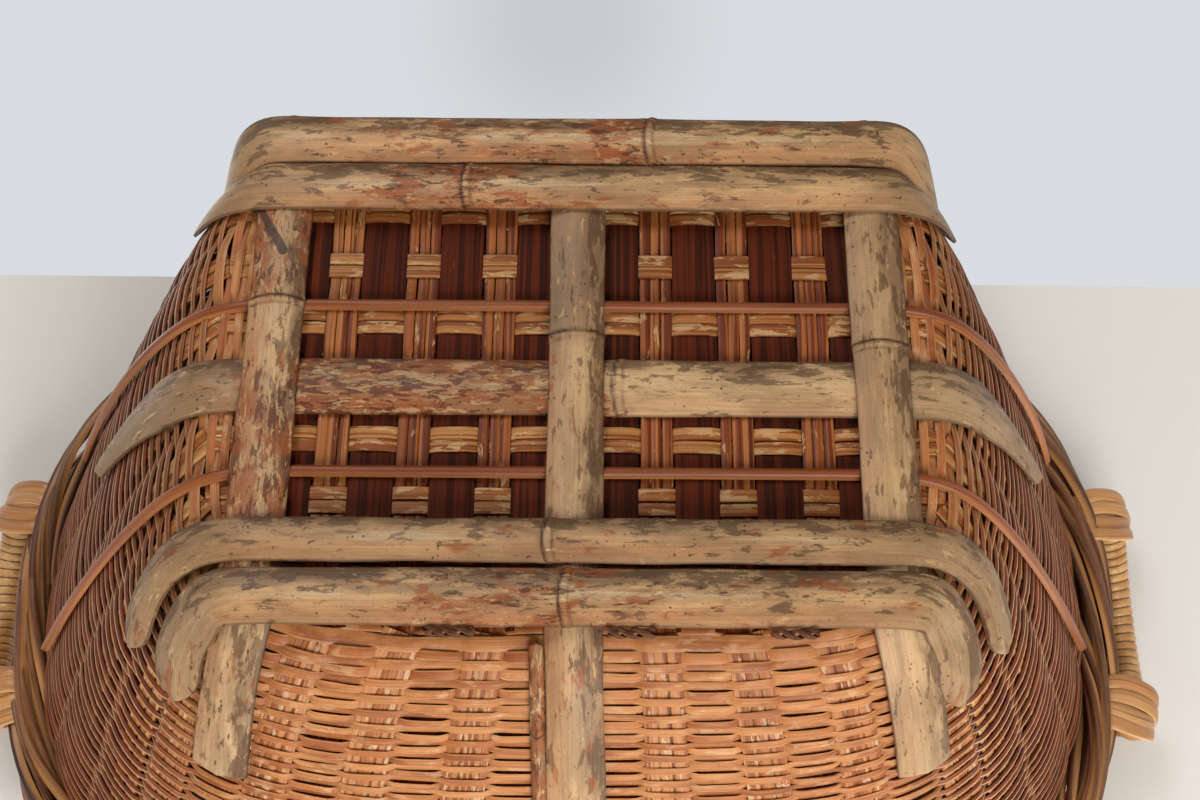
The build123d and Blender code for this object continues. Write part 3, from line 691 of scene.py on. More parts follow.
def twisted_ties():
    """Three short ties of two strands twisted together under the near lath's edge.

    Strand j turns about the tie's line at p = pi j + 5 t, with t from -1 to 1, and the line sags by
    cos(pi t / 2).
    """
    t = np.linspace(-1, 1, 60)
    number, j = (g.ravel()[:, None] for g in np.mgrid[:len(TIE_PLACES), :2])
    p = math.pi * j + 5.0 * t + number
    c, s = np.cos(p), np.sin(p)
    x = np.array(TIE_PLACES)[number] + TIE_LENGTH / 2 * t + 0.4 * np.sin(3 * t + number)
    y = TIE_Y - 0.5 * np.cos(math.pi * t / 2) + TIE_RADIUS * c
    path = np.stack([x, y, TIE_Z + TIE_RADIUS * s], -1)
    return strands("twisted_ties", path, np.stack([0 * c, c, s], -1), 2.0, 0.9, HALF_ROUND)


split, ties = split_lath(), twisted_ties()

# ---- border -------------------------------------------------------------------------

ROLL_SIDE = 7.65
ROLL_Z = BORDER_Z + 11.1
ROLL_HALF = (7.3, 10.6)        # the roll's half-width and half-height
ROLL_STRANDS = 12
ROLL_TURNS = 5
ROLL_STATIONS = 520
ROLL_WIDTH = 3.9               # of one cane of the roll
ROLL_THICK = 3.2
ROLL_SINK = 1.5                # from a cane's path to its flat side
CORE_HALF = (1.6, 4.5)
CORE_WIDTH = 5.5
CORE_THICK = 4.5


def moved(path, away, out, up):
    """Points moved by out along level outward vectors and by up along Z."""
    return path + away * out[..., None] + UP * up[..., None]


def border_roll():
    """The border: canes twisted round the roll's centre line.

    Cane j lies at phase p = 2 pi j / n + turns * angle; it stands cos(p) times the roll's half-width
    outwards and sin(p) times its half-height up from the line, with its round face turned away from it.
    """
    angle = turn_round(ROLL_STATIONS)[0]
    centre, away = body_point(angle, ROLL_Z, ROLL_SIDE), border_away(angle)
    phase = 2 * math.pi * np.arange(ROLL_STRANDS)[:, None] / ROLL_STRANDS + ROLL_TURNS * angle
    phase = phase + waviness(ROLL_STRANDS, ROLL_STATIONS, 0.3, 20)
    loose = 0.97 + waviness(ROLL_STRANDS, ROLL_STATIONS, 0.11, 24)
    c, s = np.cos(phase), np.sin(phase)
    path = moved(centre, away, ROLL_HALF[0] * c * loose, ROLL_HALF[1] * s * loose)
    out = unit(moved(0.0, away, c / ROLL_HALF[0], s / ROLL_HALF[1]))
    width = ROLL_WIDTH * (1 + waviness(ROLL_STRANDS, ROLL_STATIONS, 0.14, 20))
    roll = strands("border_canes", path - out * ROLL_SINK, out, width, ROLL_THICK, HALF_ROUND, loop=True)
    phase = math.pi * np.arange(2)[:, None] + 3 * angle
    c, s = np.cos(phase), np.sin(phase)
    core = strands("border_core", moved(centre, away, CORE_HALF[0] * c, CORE_HALF[1] * s),
                   unit(moved(0.0, away, c, s)), CORE_WIDTH, CORE_THICK, FLAT_STRIP, loop=True, tone=0.1)
    return roll, core


border_canes, border_core = border_roll()

# ---- handles ------------------------------------------------------------------------

HANDLE_ENDS_Y = (-38.5, 51.5)
HANDLE_SEAT = 8.6
HANDLE_LIFT = 30.0
HANDLE_REACH = {1: 12.0, -1: 8.0}
BORDER_OUTSIDE = 15.0
WRAP_RADIUS = 6.6
WRAP_PITCH = 4.0
LASH_INSIDE = 9.0              # from the body's outline to the inside of a lashing
LASH_SQUARE = 2.6              # exponent of a lashing's superellipse
PEEL_WIDTH = 5.8
PEEL_THICK = 1.4
LASH_SLANTS = [(-2.6, 0.0), (2.6, 0.0), (-5.0, 4.5), (0.2, 4.5), (-0.2, -4.5), (5.0, -4.5)]


def arc_through(first, crown, last, count):
    """Evenly spaced points of the circle through three points."""
    a, b = first - last, crown - last
    cross = np.cross(a, b)
    centre = last + np.cross(a.dot(a) * b - b.dot(b) * a, cross) / (2 * cross.dot(cross))
    e1 = unit(first - centre)
    e2 = unit(np.cross(np.cross(first - centre, crown - centre), first - centre))
    radius = np.linalg.norm(first - centre)
    d = last - centre
    sweep = math.atan2(d.dot(e2), d.dot(e1)) % (2 * math.pi)
    t = np.linspace(0, sweep, count)[:, None]
    return centre + radius * (np.cos(t) * e1 + np.sin(t) * e2)


def handle_bar(side):
    """Front end, crown and back end of one handle's bar, as the solids have them."""
    front, back = (np.array([side * (edge_x(y, BORDER_OUTSIDE) + HANDLE_SEAT), y, ROLL_Z])
                   for y in HANDLE_ENDS_Y)
    return front, (front + back) / 2 + [side * HANDLE_REACH[side], 0, HANDLE_LIFT], back


def handle_wrap(side, name):
    """Peel wound round the bar: a tube whose radius falls into a groove between turns.

    The groove is 1 - |sin(pi (run / pitch - turn))|^0.45, and each turn's radius differs a little.
    """
    first, crown, last = handle_bar(side)
    path = arc_through(first, crown, last, 430)
    run = np.linalg.norm(path[1] - path[0]) * np.arange(len(path))
    turn, c, s = turn_round(30)
    winding = run[:, None] / WRAP_PITCH - turn / (2 * math.pi)
    groove = 1 - np.abs(np.sin(math.pi * winding)) ** 0.45
    radius = WRAP_RADIUS + 0.15 - 1.0 * groove + 0.12 * np.sin(12.9 * np.floor(winding)) * (1 - groove)
    radius = radius * np.clip(np.minimum(run, run[-1] - run) / 3.0, 0.1, 1)[:, None] ** 0.5
    out = np.broadcast_to(unit(np.cross(path[-1] - path[0], crown - first)), path.shape)
    lift = (s * (radius - WRAP_RADIUS))[None]
    piece = strands(name, path[None], out, 2 * radius.mean(1)[None], WRAP_RADIUS, np.stack([c, s], -1),
                    sharp=80, lift=lift, tone=0.5, groove=groove[None])
    # the section is carried as a circle, so its sideways radius is set corner by corner here
    across = np.cross(out, unit(np.gradient(path, axis=0)))
    points = path[:, None] + radius[..., None] * (c[:, None] * across[:, None] + s[:, None] * out[:, None])
    piece.data.vertices.foreach_set("co", (points * MM).astype(np.float32).ravel())
    piece.data.update()
    return piece


def lashing(side, end, name):
    """One lashing: strips of peel that go round the bar's end and the border together.

    Each loop is a superellipse in the plane that runs outwards and up, sheared along the border one way
    or the other, and the two slants pass over and under each other.
    """
    place = arc_through(*handle_bar(side), 200)[end]
    angle = np.array([math.atan2(place[1] - BORDER_WIDE_Y, place[0])])
    border, away = body_point(angle, ROLL_Z)[0], border_away(angle)[0]
    along = np.array([-away[1], away[0], 0.0])
    half_out = ((place - border).dot(away) + WRAP_RADIUS + 0.2 - LASH_INSIDE) / 2
    middle = border + away * (LASH_INSIDE + half_out)
    t, c, s = turn_round(140)
    grow = superellipse(c, s, LASH_SQUARE)
    number = np.arange(len(LASH_SLANTS))[:, None]
    shift, lean = np.array(LASH_SLANTS).T[..., None]
    cross_over = np.sign(lean) * np.cos(t * 2 + 0.9) * 0.55 + np.where(lean != 0, 0.55, -0.9)
    out = (half_out + cross_over) * grow * c
    up = (mix(10.4, 7.2, (1 + c) / 2) + cross_over) * grow * s + (place[2] - ROLL_Z) / 2 * (1 + c)
    shear = shift + lean * 0.85 * s + 0.5 * np.sin(5 * number)
    normal = moved(0.0, away, np.abs(c) ** 1.6 * np.sign(c) / half_out, np.abs(s) ** 1.6 * np.sign(s) / 9.0)
    loops = moved(middle, away, out, up) + along * shear[..., None]
    return strands(name, loops, normal, PEEL_WIDTH, PEEL_THICK, PEEL_STRIP, loop=True, sharp=70)


handles = {}
for side, word in ((1, "right"), (-1, "left")):
    handles[word] = [handle_wrap(side, f"handle_{word}_winding")]
    for end, spot in ((17, "front"), (-18, "back")):
        handles[word].append(lashing(side, end, f"handle_{word}_lashing_{spot}"))

# ---- lid ----------------------------------------------------------------------------

LID_MIDDLE = 156.1
LID_SWING = 0.7
LID_ROW_PITCH = 2.7
LID_STAKE_PITCH = 11.0
LID_STAKES_EACH_WAY = 17
LID_STAKE_WIDTH = 8.6
LID_STAKE_THICK = 0.8
LID_WEAVER_THICK = 0.9
LID_INSIDE = -6.3
HOLE_HALF = (39.0, 23.0)
HOLE_Y = -22.0
HOOP_LENGTH = 1130.0
BATTEN_X = 92.0
BATTEN_PAST = 9.0              # how far a batten runs past the panel's edge
BATTEN_WIDTH = 18.0
BATTEN_THICK = 2.3


def lid_rows(name, y, left, right, parity, samples):
    """Weavers across the lid, outside one stake and inside the next, in turn from row to row."""
    x = mix(left[:, None], right[:, None], np.linspace(0, 1, samples)[None])
    swing = over_under(x / LID_STAKE_PITCH + parity[:, None])
    z = LID_MIDDLE + LID_SWING * swing + waviness(len(y), samples, 0.06, 16)
    path = np.stack([x, y[:, None] + waviness(len(y), samples, 0.14, 18), z], -1)
    return strands(name, path, UP, LID_ROW_PITCH * 1.1, LID_WEAVER_THICK, WEAVER_STRIP, sharp=75, ripe=0.25,
                   swing=swing)


def lid_panel():
    """The lid's woven panel: stakes front to back, weavers across, both left out over the fish hole."""
    front, back = edge_y(0.0, LID_INSIDE)
    y = np.arange(front + 2.0, back - 1.5, LID_ROW_PITCH)
    number = np.arange(len(y))
    reach = edge_x(y, LID_INSIDE)
    cut = np.abs(y - HOLE_Y) < HOLE_HALF[1] + 0.8
    hole = np.full(cut.sum(), HOLE_HALF[0])
    made = [lid_rows("lid_weavers", y[~cut], -reach[~cut], reach[~cut], number[~cut], 186),
            lid_rows("lid_weavers_beside_hole", np.tile(y[cut], 2), np.append(-reach[cut], hole),
                     np.append(-hole, reach[cut]), np.tile(number[cut], 2), 96)]
    stakes = np.arange(-LID_STAKES_EACH_WAY, LID_STAKES_EACH_WAY + 1)
    for kind, parity in (("light", 0), ("dark", 1)):
        x = LID_STAKE_PITCH * stakes[stakes % 2 == parity]
        low, high = edge_y(x, LID_INSIDE)
        cut = np.abs(x) < HOLE_HALF[0] + 4
        hole = np.full(cut.sum(), HOLE_HALF[1])
        starts = np.concatenate([low[~cut], low[cut], HOLE_Y + hole])
        stops = np.concatenate([high[~cut], HOLE_Y - hole, high[cut]])
        line = mix(starts[:, None], stops[:, None], np.linspace(0, 1, 40)[None])
        x = np.concatenate([x[~cut], x[cut], x[cut]])[:, None]
        path = np.stack([np.broadcast_to(x, line.shape), line, np.full(line.shape, LID_MIDDLE)], -1)
        made.append(strands(f"lid_stakes_{kind}", path, UP, LID_STAKE_WIDTH, LID_STAKE_THICK, FLAT_STRIP))
    return made


lid_weavers, lid_weavers_hole, lid_light, lid_dark = lid_panel()


def bound_ring(name, z_low, z_high, inside, outside, pitch, groove_depth, corner=3.2, around=20, per_turn=7):
    """A hoop wound with peel: a superellipse section between two offsets from the outline and two heights,
    whose radius falls into a groove between the turns of the winding."""
    turns = int(HOOP_LENGTH / pitch)
    angle = turn_round(turns * per_turn)[0]
    centre, away = body_point(angle, (z_low + z_high) / 2, (inside + outside) / 2), border_away(angle)
    step = np.linalg.norm(np.roll(centre, -1, 0) - centre, axis=1)
    run = np.append(0, np.cumsum(step)[:-1]) / step.sum() * turns
    turn, c, s = turn_round(around)
    grow = superellipse(c, s, corner)
    winding = run[:, None] - turn / (2 * math.pi)
    groove = 1 - np.abs(np.sin(math.pi * winding)) ** 0.5
    half_out, half_up = (outside - inside) / 2, (z_high - z_low) / 2
    points = moved(centre[:, None], away[:, None], (half_out * grow - groove_depth * groove) * c,
                   (half_up * grow - groove_depth * groove) * s)
    # away x up runs against the sense of travel, so the section is taken backwards
    index = np.arange(groove.size).reshape(groove.shape)
    there = np.roll(index, -1, 0)
    faces = np.stack([index, there, np.roll(there, -1, 1), np.roll(index, -1, 1)], -1).reshape(-1, 4)
    u, v = winding * pitch, np.broadcast_to(turn * (half_out + half_up) / 2, winding.shape)
    u_next, v_next = u + pitch / per_turn, v + turn[1] * (half_out + half_up) / 2
    uv = np.stack([np.stack([u, u_next, u_next, u], -1), np.stack([v, v, v_next, v_next], -1)], -1)
    tone = np.sin(np.floor(winding) * 12.9) * 0.5 + 0.5
    values = {"across": 0.0, "tone": tone.ravel(), "groove": groove.ravel()}
    return finish_mesh(name, points.reshape(-1, 3), [faces], uv.reshape(-1, 2), values, 80)


lid_binding = bound_ring("lid_hoop_binding", LID_Z, LID_TOP, -6.0, 3.0, 5.2, 0.55, corner=2.6)
rim_binding = bound_ring("rim_cap_binding", 150.3, CAP_TOP, -6.1, 0.0, 6.0, 0.35, around=14)
hoop_binding = bound_ring("rim_hoop_binding", WALL_TOP - 13, WALL_TOP, -6.1, -3.5, 6.0, 0.3, around=16)


def lid_battens():
    """The two bamboo laths across the lid, crowned, with one node each."""
    pieces = []
    for side, word in ((-1, "left"), (1, "right")):
        low, high = edge_y(side * BATTEN_X, LID_INSIDE)
        y = np.linspace(low - BATTEN_PAST, high + BATTEN_PAST, 260)
        path = np.stack([np.full_like(y, side * BATTEN_X), y, np.full_like(y, LID_TOP + 0.2)], -1)
        profile = crowned()
        lift, ring = node_marks(y + 34 * side - 10, profile, 0.25, 0.3, (0.62, 0.55, 0.5))
        wide = BATTEN_WIDTH * rounded_ends(y, 3.0)
        pieces.append(strands(f"lid_lath_{word}", path[None], UP, wide[None], BATTEN_THICK, profile, sharp=48,
                              lift=lift, ring=ring, aged=0.15, pale=0.6, worn=0.3 + 0.2 * side))
    return pieces


battens = lid_battens()

# ---- colours and finishes -----------------------------------------------------------


def rgb(red, green, blue):
    """A colour from its 0-255 display values, as linear light."""
    c = np.array([red, green, blue]) / 255
    linear = np.where(c <= 0.04045, c / 12.92, ((c + 0.055) / 1.055) ** 2.4)
    return (*linear.tolist(), 1.0)


class Nodes:
    """Adds shader nodes to one tree; all calls but put return the new node's output."""

    def __init__(self, tree):
        self.tree = tree

    def put(self, kind, inputs=None, **settings):
        """Add a node, set its properties, and set or link its inputs by name or number."""
        made = self.tree.nodes.new("ShaderNode" + kind)
        for label, value in settings.items():
            setattr(made, label, value)
        for label, value in (inputs or {}).items():
            if isinstance(value, bpy.types.NodeSocket):
                self.tree.links.new(value, made.inputs[label])
            else:
                made.inputs[label].default_value = value
        return made

    def maths(self, operation, a, b=0.0, c=0.0, clamp=False):
        """One Math node."""
        return self.put("Math", {0: a, 1: b, 2: c}, operation=operation, use_clamp=clamp).outputs[0]

    def times(self, a, b):
        """The product of two values."""
        return self.maths("MULTIPLY", a, b)

    def line(self, value, slope, start):
        """A straight line: slope times the value, plus start."""
        return self.maths("MULTIPLY_ADD", value, slope, start)

    def highest(self, first, *others):
        """The largest of several values."""
        for other in others:
            first = self.maths("MAXIMUM", first, other)
        return first

    def vector(self, operation, a, b, output=0):
        """One Vector Math node."""
        return self.put("VectorMath", {0: a, 1: b}, operation=operation).outputs[output]

    def blend(self, amount, first, second, mode="MIX"):
        """Mix two colours."""
        return self.put("Mix", {"Factor": amount, 6: first, 7: second}, data_type="RGBA",
                        blend_type=mode).outputs[2]

    def step_up(self, value, low, high, to_low=0.0, to_high=1.0):
        """Map Range with a smooth step from low to high."""
        return self.put("MapRange", {"Value": value, "From Min": low, "From Max": high, "To Min": to_low,
                                     "To Max": to_high}, interpolation_type="SMOOTHSTEP").outputs[0]

    def noise(self, vector, scale, detail, **more):
        """Noise at a vector."""
        return self.put("TexNoise", {"Vector": vector, "Scale": scale, "Detail": detail, **more}).outputs[0]

    def drawn(self, given, seed_step):
        """A group's surface stretched along and across, with its seed as the third number."""
        parts = self.put("SeparateXYZ", {0: given["Surface"]}).outputs
        along, across = self.times(parts[0], given["Along"]), self.times(parts[1], given["Across"])
        seed = self.times(given["Seed"], seed_step)
        return self.put("CombineXYZ", {0: along, 1: across, 2: seed}).outputs[0]


def new_group(name, outputs, **inputs):
    """An empty shader group on a surface, with named number inputs and outputs."""
    tree = bpy.data.node_groups.new(name, "ShaderNodeTree")
    tree.interface.new_socket("Surface", in_out="INPUT", socket_type="NodeSocketVector")
    for label, value in inputs.items():
        tree.interface.new_socket(label, in_out="INPUT", socket_type="NodeSocketFloat").default_value = value
    for label in outputs:
        tree.interface.new_socket(label, in_out="OUTPUT", socket_type="NodeSocketFloat")
    return Nodes(tree), tree.nodes.new("NodeGroupInput").outputs, tree.nodes.new("NodeGroupOutput").inputs


def fibre_group():
    """Fibres along a strip: noise drawn out along u, and thin dark streaks where it runs high."""
    n, given, result = new_group("fibres along the strip", ["Fibre", "Streak"], Along=20.0, Across=900.0,
                                 Seed=0.0)
    drawn = n.drawn(given, 53.0)
    n.tree.links.new(n.noise(drawn, 1.0, 3.0, Roughness=0.6), result["Fibre"])
    long = n.noise(n.vector("MULTIPLY", drawn, (0.35, 0.6, 1.0)), 1.0, 2.0)
    n.tree.links.new(n.step_up(long, 0.62, 0.7), result["Streak"])
    return n.tree


def patch_group():
    """Patches with a crisp edge: noise cut at a level that falls as Amount grows."""
    n, given, result = new_group("worn patches", ["Mask"], Along=60.0, Across=200.0, Seed=0.0, Amount=0.5,
                                 Softness=0.03)
    noise = n.noise(n.drawn(given, 71.0), 1.0, 6.0, Roughness=0.66, Distortion=0.35)
    level = n.line(given["Amount"], -0.42, 0.72)
    low, high = (n.maths(operation, level, given["Softness"]) for operation in ("SUBTRACT", "ADD"))
    n.tree.links.new(n.step_up(noise, low, high), result["Mask"])
    return n.tree


def speck_group():
    """Small dark specks and pits: cells of which a few are kept, each a dot."""
    n, given, result = new_group("specks", ["Mask"], Scale=300.0, Share=0.2)
    cells = n.put("TexVoronoi", {"Vector": given["Surface"], "Scale": given["Scale"],
                                 "Randomness": 1.0}).outputs
    pick = n.put("SeparateColor", {0: cells["Color"]}).outputs[0]
    dot = n.step_up(cells["Distance"], 0.36, 0.2)
    n.tree.links.new(n.times(n.maths("LESS_THAN", pick, given["Share"]), dot), result["Mask"])
    return n.tree


fibres, patches, specks = fibre_group(), patch_group(), speck_group()


class Finish(Nodes):
    """A material in the making: its Principled shader, the piece's own UV in metres and its colour so far.

    Woven strips also carry a tone for each strand and their place across, from -1 to 1.
    """

    def __init__(self, name, roughness, specular=0.3, coat=0.0, strips=True):
        self.material = bpy.data.materials.new(name)
        self.material.use_nodes = True
        super().__init__(self.material.node_tree)
        self.given = self.tree.nodes["Principled BSDF"].inputs
        for label, value in (("Specular IOR Level", specular), ("Roughness", roughness),
                             ("Coat Weight", coat), ("Coat Roughness", 0.25)):
            self.given[label].default_value = value
        place_at = self.put("TexCoord").outputs
        self.surface, self.place = place_at["UV"], place_at["Object"]
        if strips:
            self.tone, self.side = self.attribute("tone"), self.attribute("across")
            self.off_middle = self.maths("ABSOLUTE", self.side)

    def attribute(self, name):
        """A number kept on the mesh, such as tone or across."""
        return self.put("Attribute", attribute_name=name).outputs["Fac"]

    def seeded(self, group, seed, **inputs):
        """A shared group on the surface, with each strand's tone as its seed; returns its outputs."""
        seed = self.maths("ADD", self.tone, seed) if seed else self.tone
        return self.put("Group", {"Surface": self.surface, "Seed": seed, **inputs}, node_tree=group).outputs

    def fibres(self, along, across, seed=0.0):
        """Fibres and streaks along the strip."""
        return self.seeded(fibres, seed, Along=along, Across=across)

    def patch(self, seed, along, across, amount, softness):
        """The mask of patches with a crisp edge."""
        return self.seeded(patches, seed, Along=along, Across=across, Amount=amount,
                           Softness=softness)["Mask"]

    def specks(self, scale, share):
        """The mask of small dark specks."""
        return self.put("Group", {"Surface": self.surface, "Scale": scale, "Share": share},
                        node_tree=specks).outputs["Mask"]

    def start(self, amount, first, second):
        """Begin with a blend of two display colours."""
        self.colour = self.blend(amount, rgb(*first), rgb(*second))

    def paint(self, colour, mask, amount=None):
        """Lay a display colour over the colour so far where the mask is high."""
        mask = mask if amount is None else self.times(mask, amount)
        self.colour = self.blend(mask, self.colour, rgb(*colour))

    def shade(self, fibre, low, high, dark, bright):
        """Darken and lighten the colour with the fibres."""
        shade = self.step_up(fibre, low, high, dark, bright)
        tint = self.put("CombineColor", {0: shade, 1: shade, 2: shade}).outputs[0]
        self.colour = self.blend(1.0, self.colour, tint, "MULTIPLY")

    def close(self, height, strength, distance):
        """Wire colour and bump into the shader; returns the material."""
        self.tree.links.new(self.colour, self.given["Base Color"])
        bump = self.put("Bump", {"Height": height, "Strength": strength, "Distance": distance})
        self.tree.links.new(bump.outputs[0], self.given["Normal"])
        return self.material


def brush_mask(n, start, end):
    """1 near the segment between two places in plan, 0 away from it, with an uneven edge; it widens to its
    end."""
    first = np.array([*start, 0.0]) * MM
    run = np.array([*end, 0.0]) * MM - first
    flat = n.vector("MULTIPLY", n.place, (1.0, 1.0, 0.0))
    from_start = n.vector("SUBTRACT", flat, first.tolist())
    along = n.vector("DOT_PRODUCT", from_start, (run / run.dot(run)).tolist(), "Value")
    along = n.maths("MULTIPLY", along, 1.0, clamp=True)
    nearest = n.put("VectorMath", {0: run.tolist(), "Scale": along}, operation="SCALE").outputs[0]
    off = n.vector("DISTANCE", from_start, nearest, "Value")
    off = n.line(n.noise(n.place, 700.0, 3.0), -0.0008, off)
    reach = n.line(along, 0.0005, 0.0008)
    return n.step_up(n.maths("SUBTRACT", reach, off), -0.0002, 0.0002, 0.0, 0.85)


def bamboo(name, stroke=None):
    """Old split bamboo: straw or tan skin, grey-brown where aged and along one edge, rust-orange along the
    other edge, partly rust where worn and partly painted shade, and rusty in crisp patches where worn, with
    cream flakes over the rust, small clustered specks, dark node rings and edges.

    stroke gives the two ends, in plan, of one dark stroke of a brush across the underside."""
    n = Finish(name, 0.42)
    worn, aged, pale, ring = (n.attribute(label) for label in ("worn", "aged", "pale", "ring"))
    upper = n.times(n.side, -1.0)
    fibre = n.fibres(30.0, 1300.0)
    cloud = n.patch(0.4, 34.0, 150.0, 0.5, 0.2)
    n.start(pale, (190, 150, 106), (216, 186, 142))
    n.paint((220, 188, 138), cloud, 0.3)
    # painted shade along the lath's lower edge, with more rust-orange where it is worn
    below = n.step_up(n.maths("ADD", n.side, n.line(cloud, -0.5, 0.2)), -0.1, 0.75)
    n.paint((168, 98, 50), below, n.line(worn, 0.7, 0.15))
    rim = n.maths("SUBTRACT", upper, n.patch(1.1, 30.0, 110.0, 0.5, 0.1))
    n.paint((128, 100, 72), n.step_up(rim, -0.25, 0.7, 0.0, 0.75))
    grey = n.line(n.patch(2.3, 26.0, 80.0, 0.6, 0.14), 0.45, 0.5)
    n.paint((146, 120, 90), n.maths("MULTIPLY", aged, grey, clamp=True))
    n.paint((130, 98, 68), n.patch(4.2, 34.0, 120.0, 0.5, 0.09), 0.4)
    mould = n.maths("ADD", n.step_up(upper, -0.3, 1.0, 0.27, 0.6), n.times(ring, 0.2))
    n.paint((80, 54, 36), n.patch(8.6, 90.0, 300.0, mould, 0.02), 0.62)
    n.paint((156, 86, 42), n.patch(3.1, 70.0, 190.0, n.line(worn, 0.62, 0.02), 0.035), 0.72)
    deep = n.patch(5.3, 130.0, 420.0, n.line(worn, 0.5, 0.0), 0.018)
    n.paint((92, 48, 28), deep, 0.8)
    flake = n.patch(6.7, 120.0, 380.0, n.line(n.highest(worn, n.times(aged, 0.6)), 0.34, 0.06), 0.012)
    n.paint((214, 180, 130), flake, 0.6)
    n.shade(fibre["Fibre"], 0.2, 0.8, 0.78, 1.1)
    dots = n.times(n.specks(620.0, 0.2), n.patch(7.9, 60.0, 90.0, 0.42, 0.05))
    dark = n.highest(n.times(dots, 0.8), n.times(n.specks(1300.0, 0.12), 0.45),
                     n.times(fibre["Streak"], 0.16), n.step_up(n.off_middle, 0.93, 1.0, 0.0, 0.5))
    dark = n.maths("MAXIMUM", dark, n.times(ring, 0.95), clamp=True)
    n.paint((62, 40, 28), dark)
    if stroke:
        n.paint((58, 42, 38), brush_mask(n, *stroke))
    height = n.line(fibre["Fibre"], 0.3, n.times(flake, 0.3))
    for mask, depth in ((dark, 0.5), (deep, 0.25)):
        height = n.maths("SUBTRACT", height, n.times(mask, depth))
    n.tree.links.new(n.step_up(fibre["Fibre"], 0.2, 0.8, 0.38, 0.58), n.given["Roughness"])
    return n.close(height, 0.4, 0.0003)


def woven(name, face, ripe_face, edge, fresh):
    """Fine weavers: a face from peach to red-brown on the side walls, the upper rows and the lid, partly the
    weavers' own tone and partly painted shade, a pale edge, a painted highlight on one half and painted shade
    on the other half of each side-wall weaver, and a tone for each splice."""
    n = Finish(name, 0.46)
    ripe = n.attribute("ripe")
    fibre = n.fibres(45.0, 2600.0)
    n.start(n.tone, face, fresh)
    n.paint(ripe_face, ripe)
    n.paint((136, 66, 34), n.patch(0.0, 26.0, 60.0, 0.44, 0.07), 0.6)
    n.paint((226, 190, 146), n.patch(2.0, 90.0, 200.0, 0.3, 0.05), n.line(ripe, -0.35, 0.45))
    both_edges = n.times(n.step_up(n.off_middle, 0.6, 0.8), 0.4)
    # On the side walls, a painted highlight on one half of each weaver and painted shade on the other half.
    painted_lit_half = n.times(n.step_up(n.side, 0.05, 0.25), ripe)
    outside_shaded_half = n.maths("SUBTRACT", 1.0, n.times(ripe, n.step_up(n.side, 0.0, -0.3)))
    n.paint(edge, n.highest(both_edges, painted_lit_half), outside_shaded_half)
    n.shade(fibre["Fibre"], 0.25, 0.75, 0.72, 1.1)
    n.paint((80, 42, 24), fibre["Streak"], 0.35)
    return n.close(fibre["Fibre"], 0.35, 0.0002)


def strip_finish(name, light, other, streak, peel_amount, peel_colour=(214, 176, 124), seed=0.0,
                 roughness=0.5, specular=0.3):
    """Flat strips: two tones by strip, fibres along, peeled pale patches and dark streaks."""
    n = Finish(name, roughness, specular)
    fibre = n.fibres(14.0, 1300.0, seed)
    peel = n.patch(0.0, 90.0, 330.0, peel_amount, 0.015)
    n.start(n.tone, light, other)
    n.paint(streak, n.step_up(n.fibres(5.0, 420.0, 4.0)["Fibre"], 0.48, 0.56))
    n.paint(peel_colour, peel, 0.8)
    n.shade(fibre["Fibre"], 0.2, 0.8, 0.6, 1.2)
    n.paint((52, 28, 18), n.step_up(n.off_middle, 0.9, 1.0, 0.0, 0.5))
    n.paint((48, 24, 16), fibre["Streak"], 0.5)
    return n.close(n.line(peel, 0.5, fibre["Fibre"]), 0.55, 0.0003)


def cane(name, body, edge, other, coat=0.25, edge_from=0.45):
    """Round or split cane: a body tone, paler cut edges, fibres along and some darker lengths."""
    n = Finish(name, 0.38, coat=coat)
    fibre = n.fibres(16.0, 1700.0)
    n.start(n.tone, body, other)
    n.paint(edge, n.patch(0.0, 9.0, 90.0, 0.5, 0.1), 0.35)
    n.paint(edge, n.step_up(n.off_middle, edge_from, 0.98))
    n.shade(fibre["Fibre"], 0.2, 0.8, 0.62, 1.15)
    n.paint((48, 24, 16), fibre["Streak"], 0.5)
    return n.close(fibre["Fibre"], 0.4, 0.0003)


def wound_peel(name):
    """Glossy peel wound round a bar: tan turns, with painted shade in the grooves between them."""
    n = Finish(name, 0.3, coat=0.5, strips=False)
    fine = n.noise(n.place, 900.0, 2.0)
    n.start(n.step_up(n.noise(n.place, 110.0, 5.0), 0.35, 0.65), (176, 122, 66), (204, 158, 98))
    n.paint((120, 76, 42), n.step_up(fine, 0.55, 0.7, 0.0, 0.4))
    # painted shade in the grooves between the turns
    n.paint((58, 32, 18), n.step_up(n.attribute("groove"), 0.25, 0.8))
    return n.close(fine, 0.2, 0.0002)


def turned_wood(name, light, dark):
    """Plain timber or cane solids: grain drawn out along Y in the object's own coordinates."""
    n = Finish(name, 0.45, coat=0.2, strips=False)
    drawn = n.put("Mapping", {"Vector": n.place, "Scale": (240.0, 60.0, 480.0)}).outputs[0]
    grain = n.noise(drawn, 1.0, 5.0, Distortion=0.6)
    n.start(n.step_up(grain, 0.38, 0.62), light, dark)
    n.paint((60, 36, 22), n.step_up(n.noise(n.place, 420.0, 3.0), 0.62, 0.7, 0.0, 0.5))
    return n.close(grain, 0.4, 0.0004)


